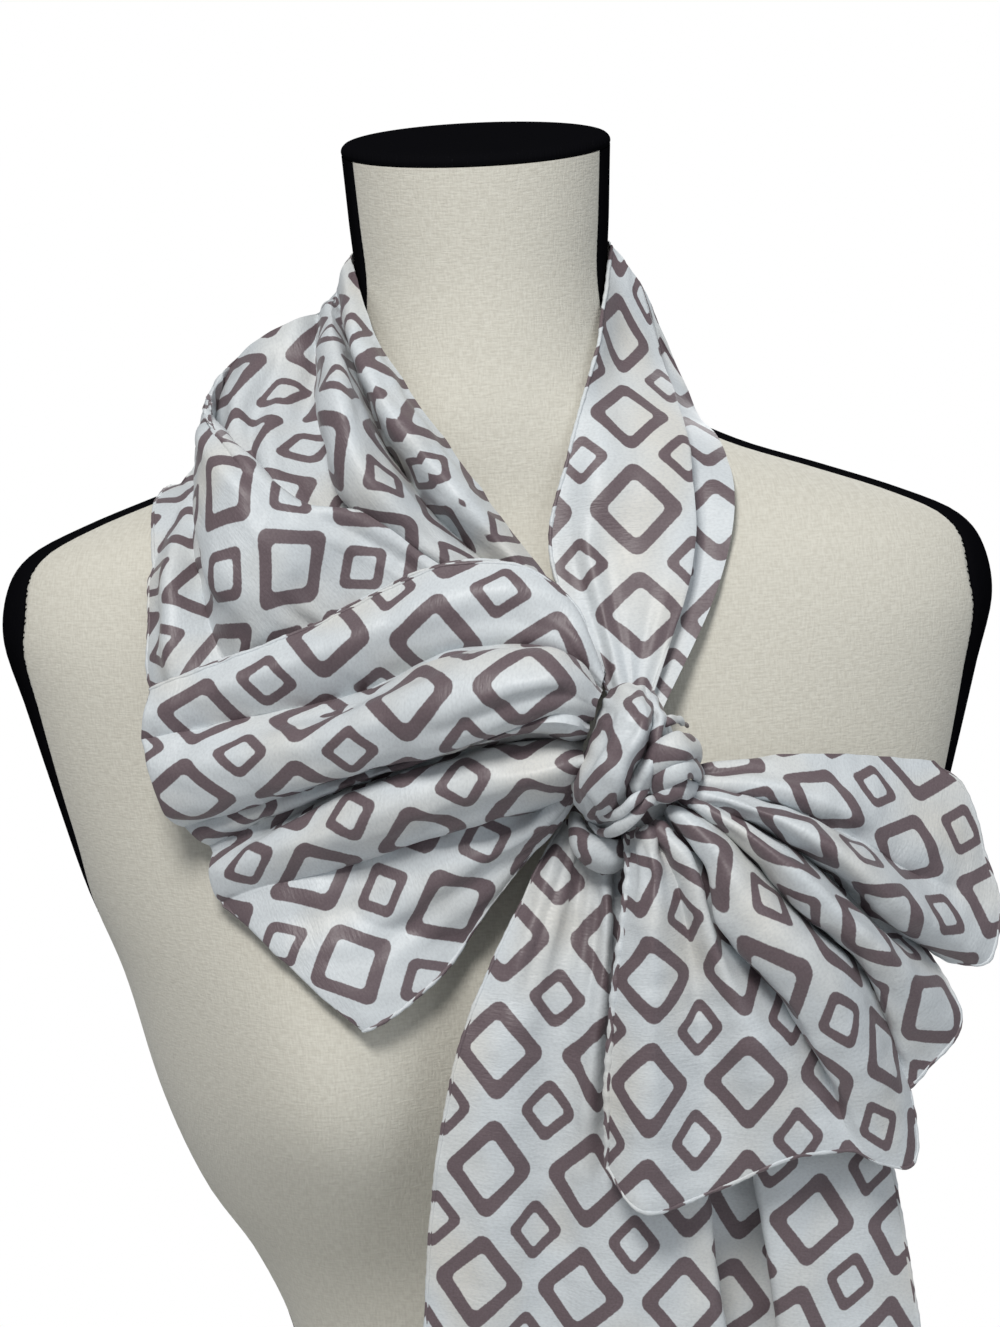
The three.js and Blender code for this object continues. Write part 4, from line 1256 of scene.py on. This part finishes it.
# %% The fan's folds
# places along: root, near, middle, far, tip
FAN_FOLDS = {
    "selvage": ((44, -132, 501), (41, -139, 487), (36, -146, 461), (30, -150, 424), (28, -150, 387)),
    "first_swell": ((46, -140, 502), (48, -151, 488), (47, -158, 461), (45, -159, 422), (41, -158, 372)),
    "first_hollow": ((48, -136, 502), (56, -143, 487), (60, -146, 460), (63, -148, 422), (68, -149, 377)),
    "second_swell": ((50, -140, 504), (61, -150, 490), (69, -154, 461), (81, -156, 427), (92, -149, 386)),
    "first_crease": ((54, -128, 505), (67, -131, 487), (75, -136, 463), (99, -140, 432), (114, -143, 386)),
    "ridge_lip": ((54, -136, 507), (66, -147, 492), (71, -154, 469), (94, -156, 439), (124, -140, 380)),
    "ridge": ((55, -142, 509), (69, -154, 496), (81, -162, 475), (105, -160, 444), (135, -134, 377)),
    "ridge_slope": ((57, -139, 509), (74, -149, 496), (92, -155, 473), (114, -152, 447), (138, -130, 387)),
    "second_crease": (
        (59, -128, 508), (80, -131, 492), (101, -135, 468), (122, -136, 446), (136, -128, 403),
    ),
    "side_lip": ((58, -136, 510), (78, -146, 497), (97, -153, 475), (119, -150, 454), (142, -128, 409)),
    "side_swell": ((60, -141, 512), (81, -152, 501), (103, -158, 483), (127, -150, 457), (156, -124, 426)),
    "third_crease": (
        (61, -128, 510), (88, -129, 498), (113, -131, 478), (129, -128, 461), (144, -114, 452),
    ),
    "outer_lip": ((62, -136, 513), (86, -143, 503), (111, -148, 486), (131, -141, 467), (154, -116, 445)),
    "outer_roll": ((62, -140, 514), (88, -148, 507), (114, -152, 492), (137, -141, 472), (168, -112, 444)),
    "fourth_crease": (
        (64, -130, 514), (92, -133, 506), (119, -132, 494), (139, -121, 479), (174, -106, 462),
    ),
    "upper_swell": ((64, -136, 516), (89, -139, 514), (114, -138, 506), (138, -124, 495), (170, -103, 479)),
    "upper_slope": ((65, -132, 516), (84, -132, 519), (112, -129, 514), (138, -113, 507), (164, -99, 503)),
    "top_edge": ((65, -128, 516), (81, -126, 520), (108, -122, 522), (132, -108, 518), (153, -97, 514)),
}
FAN_VALLEYS = ("first_crease", "second_crease", "third_crease", "fourth_crease")
FAN_CREASES = (
    ((0.00, 0.06), (0.45, 0.05), 0.00, 3.0, 1.6),
    ((0.05, 0.20), (0.60, 0.22), 0.01, 4.0, 1.8),
    ((0.10, 0.33), (0.55, 0.31), 0.00, 4.0, 1.8),
    ((0.05, 0.47), (0.50, 0.49), 0.01, 3.5, 1.8),
    ((0.05, 0.62), (0.45, 0.60), 0.00, 3.5, 1.8),
    ((0.05, 0.86), (0.55, 0.85), 0.00, 4.0, 1.8),
    ((0.00, 0.95), (0.40, 0.96), 0.00, 3.0, 1.6),
    ((0.40, 0.05), (0.95, 0.10), 0.00, 7.0, 1.4),
    ((0.45, 0.28), (0.92, 0.27), 0.01, 6.0, -1.4),
    ((0.50, 0.66), (0.90, 0.69), 0.00, 5.0, 1.4),
    ((0.55, 0.90), (0.95, 0.93), 0.00, 8.0, 1.4),
)
FAN_GATHERS = ((18, 0.22, 1.8), (9, 0.5, 2.6))
print("the fan:", len(FAN_FOLDS), "fold lines")

# %% The fan
FAN_HEM_FROM = 9  # the row where its side hem comes out of the knot

fan = drawn_cloth(FAN_FOLDS, FAN_VALLEYS, 140, 220, FAN_GATHERS, 6, FAN_CREASES)
fan_places = with_square_at(laid_flat(fan), (95, -127), -9)
fan, fan_end = cloth_piece("fanned_end", fan, fan_places, ["fan_end"], 0.55, 15)
fan_hems = [
    hem_of("fanned_end_hem_side", fan[FAN_HEM_FROM:], fan_places[FAN_HEM_FROM:], "first", 1.4),
    hem_of("fanned_end_hem_end", fan, fan_places, "end"),
]

# %% [markdown]
# ## The long end
# The long end hangs behind the short one, nearly flat, with one deep pleat down it, and ends in a hem below.

# %% The long end's folds
# places along: root, via, tip, end
LONG_END_FOLDS = {
    "selvage": ((20, -109, 501), (-22, -133, 422), (-38, -135, 318), (-38, -134, 214)),
    "left_swell": ((25, -113, 501), (-6, -138, 421), (-17, -140, 318), (-16, -139, 212)),
    "left_hollow": ((29, -111, 501), (10, -134, 420), (4, -135, 318), (6, -134, 211)),
    "middle_swell": ((34, -114, 501), (28, -138, 419), (28, -141, 318), (29, -140, 210)),
    "panel_edge": ((39, -115, 502), (55, -136, 418), (66, -139, 318), (68, -138, 210)),
    "pleat_left": ((43, -109, 502), (58, -127, 417), (62, -122, 318), (63, -121, 211)),
    "pleat_right": ((46, -109, 503), (76, -126, 416), (90, -118, 318), (92, -117, 212)),
    "second_edge": ((49, -115, 504), (74, -134, 416), (88, -131, 318), (90, -130, 213)),
    "right_swell": ((52, -115, 504), (95, -129, 414), (113, -129, 318), (117, -128, 215)),
    "far_selvage": ((55, -111, 505), (118, -120, 412), (138, -117, 318), (143, -116, 216)),
}
LONG_END_VALLEYS = ("pleat_left", "pleat_right")
LONG_END_CREASES = (
    ((0.0, 0.10), (0.30, 0.12), 0.0, 4.0, 2.4),
    ((0.0, 0.30), (0.35, 0.30), 0.0, 4.0, 2.6),
    ((0.02, 0.42), (0.52, 0.30), 0.0, 5.0, 12.0),
    ((0.0, 0.75), (0.35, 0.80), 0.0, 4.0, 2.2),
    ((0.20, 0.20), (0.75, 0.22), 0.02, 9.0, 1.6),
    ((0.30, 0.86), (0.90, 0.84), 0.0, 8.0, 1.8),
    ((0.45, 0.06), (0.95, 0.05), 0.0, 7.0, 1.2),
)
LONG_END_GATHERS = ((12, 0.14, 1.8), (6, 0.3, 2.4))
print("the long end:", len(LONG_END_FOLDS), "fold lines")

# %% The hanging cloth
long_cloth = drawn_cloth(LONG_END_FOLDS, LONG_END_VALLEYS, 130, 140, LONG_END_GATHERS, 7, LONG_END_CREASES)
long_places = with_square_at(laid_flat(long_cloth), (73, -83), -18)
long_cloth, long_end = cloth_piece("hanging_end", long_cloth, long_places, ["long_end"], 0.6, 16)
long_hems = [
    hem_of("hanging_end_hem_side", long_cloth, long_places, "first"),
    hem_of("hanging_end_hem_far_side", long_cloth, long_places, "last"),
    hem_of("hanging_end_hem_end", long_cloth, long_places, "end"),
]

# %% [markdown]
# ## The knot
# A knot in soft satin is a bundle of rolls. Each wrap is drawn as a roll that bends round a centre: its path
# along the middle, its half width at each place, and an arched section whose edges turn down into the
# bundle, so that no edge shows. The bundle has pleats along it, and the wrap over it is a small table of
# folds like the other stretches.

# %% The main wrap's folds
# places along: behind, top, upper, middle, lower, under
WRAP_FOLDS = {
    "left_under": (
        (38, -116, 543), (35, -124, 542), (31, -126, 530),
        (25, -126, 518), (25, -124, 508), (30, -114, 500),
    ),
    "left_edge": (
        (38, -126, 548), (34, -135, 543), (29, -138, 531),
        (23, -137, 517), (25, -132, 508), (31, -120, 500),
    ),
    "left_swell": (
        (41, -130, 550), (38, -145, 544), (33, -151, 532),
        (27, -151, 519), (29, -143, 508), (33, -124, 500),
    ),
    "crest": (
        (44, -131, 551), (42, -150, 545), (39, -156, 534),
        (32, -157, 521), (33, -147, 509), (35, -126, 500),
    ),
    "ridge": (
        (47, -132, 550), (48, -152, 544), (46, -158, 536),
        (39, -158, 523), (37, -148, 510), (38, -126, 500),
    ),
    "pleat": (
        (49, -129, 549), (51, -143, 542), (48, -146, 530),
        (42, -147, 520), (40, -142, 511), (41, -122, 501),
    ),
    "right_swell": (
        (51, -130, 548), (54, -146, 541), (51, -152, 530),
        (47, -153, 520), (44, -145, 512), (43, -124, 502),
    ),
    "right_edge": (
        (53, -124, 546), (56, -136, 537), (54, -141, 527),
        (51, -142, 518), (48, -135, 509), (45, -120, 501),
    ),
    "right_under": (
        (52, -116, 542), (54, -122, 535), (51, -124, 525),
        (49, -126, 515), (46, -124, 507), (44, -114, 499),
    ),
}
WRAP_CREASES = (
    ((0.18, 0.30), (0.60, 0.22), 0.03, 2.6, 1.3),
    ((0.15, 0.45), (0.45, 0.40), 0.00, 2.2, 1.1),
    ((0.50, 0.52), (0.92, 0.45), 0.02, 2.4, 1.3),
    ((0.62, 0.30), (0.95, 0.34), 0.00, 2.2, 1.2),
    ((0.20, 0.72), (0.60, 0.74), 0.00, 2.0, 1.0),
)
print("the wrap:", len(WRAP_FOLDS), "fold lines")

# %% The main wrap
KNOT_WAVE = 0.010  # the size of the unevenness on the knot's pieces, in metres
WRAP_TURNS = 60  # it is small and nearly flat, so its net settles soon

wrap_grid = folded_cloth(WRAP_FOLDS, ("pleat",), shares(100), shares(80))
wrap_grid = creased(wrap_grid, WRAP_CREASES)
wrap_places = with_square_at(laid_flat(wrap_grid, WRAP_TURNS), (33, -23), -6)
wrap_lift = uneven(wrap_places, KNOT_WAVE, 21)
wrap_grid = wrap_grid + grid_normals(wrap_grid) * (0.5 * wrap_lift)[..., None]
cloth_wall("main_wrap", wrap_grid, wrap_places, ["knot_wrap"])

# %% The rolls beside and under it
# what each stands for, what it bends round, half its width at each place, how many pleats, and its path
KNOT_ROLLS = {
    "bundle": (
        ["knot_core"], (46, -112, 521), (6, 10, 12, 11, 7), 2.5,
        ((47, -112, 541), (47, -128, 537), (48, -135, 522), (46, -130, 506), (45, -112, 500)),
    ),
    "high_finger": (
        ["knot_roll_upper"], (50, -122, 517), (2.4, 4.2, 5.1, 5.0, 4.4, 3.4), 0,
        ((44, -134, 518), (49, -148, 524), (54, -152, 529),
         (60, -150, 531), (65, -136, 528), (66, -114, 521)),
    ),
    "low_finger": (
        ["knot_roll_lower"], (50, -122, 512), (2, 3.5, 4.1, 4.0, 3.4, 2.8), 0,
        ((46, -134, 513), (51, -148, 518), (56, -152, 522),
         (61, -150, 524), (66, -136, 520), (67, -114, 512)),
    ),
    "last_finger": (
        [], (50, -122, 508), (2, 3.1, 3.5, 3.4, 2.8, 2.4), 0,
        ((48, -134, 509), (51, -146, 514), (56, -150, 516),
         (60, -148, 516), (65, -134, 513), (65, -114, 506)),
    ),
    "twist": (
        [], (42, -120, 512), (0.8, 1.6, 2.0, 2.0, 1.7, 1.0), 0,
        ((28, -122, 502), (32, -136, 500), (37, -147, 503),
         (43, -151, 508), (48, -150, 512), (54, -138, 512)),
    ),
    "small_fold": (
        [], (42, -122, 514), (0.8, 1.4, 1.7, 1.5, 0.8), 0,
        ((30, -130, 507), (34, -145, 507), (39, -152, 510), (44, -153, 514), (48, -148, 516)),
    ),
    "sliver": (
        [], (52, -118, 525), (0.7, 1.2, 1.5, 1.3, 0.7), 0,
        ((50, -130, 531), (52, -141, 536), (56, -143, 539), (60, -136, 538), (64, -120, 534)),
    ),
    "lobe": (
        ["knot_tuck"], (37, -104, 508), (3, 5, 6.5, 6.5, 5), 0,
        ((24, -112, 504), (24, -124, 497), (29, -130, 492), (36, -131, 490), (44, -120, 492)),
    ),
}
print("rolls in the knot:", ", ".join(KNOT_ROLLS))

# %% Making the rolls
ROLL_ARCH = 0.672  # how high a roll stands for its half width
ROLL_EDGE = 0.2  # the share of its arch that is cut away below
ROLL_TURN = math.radians(125)  # how far each edge turns down from the crest
PLEAT_DEEP = 1.1
ROLL_PRINT = np.array([0.009, 0.003])  # where the first roll's corner is on the print, in metres
NEXT_ROLL = np.array([0.011, 0.0165])  # and how far on the next one's is


def roll_grid(centre, half, pleats, path, s, t):
    """A roll's grid at shares s along its path and t from one edge over the crest to the other."""
    middle = smooth_through(np.array(path), s)
    way = unit(np.gradient(middle, axis=0))
    out = middle - np.array(centre)
    out = unit(out - way * (out * way).sum(-1, keepdims=True))
    side = np.cross(way, out)
    wide = smooth_through(np.array(half, float)[:, None], s)
    turn = (2 * t - 1) * ROLL_TURN
    valley = np.abs(np.sin(np.pi * (pleats * t + 0.25 * np.sin(3 * s[:, None])))) ** 0.6
    deep = np.minimum(PLEAT_DEEP, 0.2 * wide) if pleats else 0
    arch = ROLL_ARCH * wide * (np.cos(turn) - ROLL_EDGE) - deep * (1 - valley) * np.cos(turn / 2)
    return middle[:, None] + side[:, None] * (wide * np.sin(turn))[..., None] + out[:, None] * arch[..., None]


for seed, (name, (replaced, centre, half, pleats, path)) in enumerate(KNOT_ROLLS.items()):
    grid = roll_grid(centre, half, pleats, path, shares(50), shares(33))
    places = flat_places(grid, ROLL_PRINT + seed * NEXT_ROLL)
    lift = uneven(places, KNOT_WAVE, seed)
    grid = grid + grid_normals(grid) * (0.4 * lift)[..., None]
    cloth_wall("knot_" + name, grid, places, replaced)

# %% [markdown]
# ## The sheets' areas
# Cloth hardly stretches, so each stretch's area has to match the flat cloth it is made of.

# %% The sheets' areas
print("each stretch's cloth area is printed where it is made")
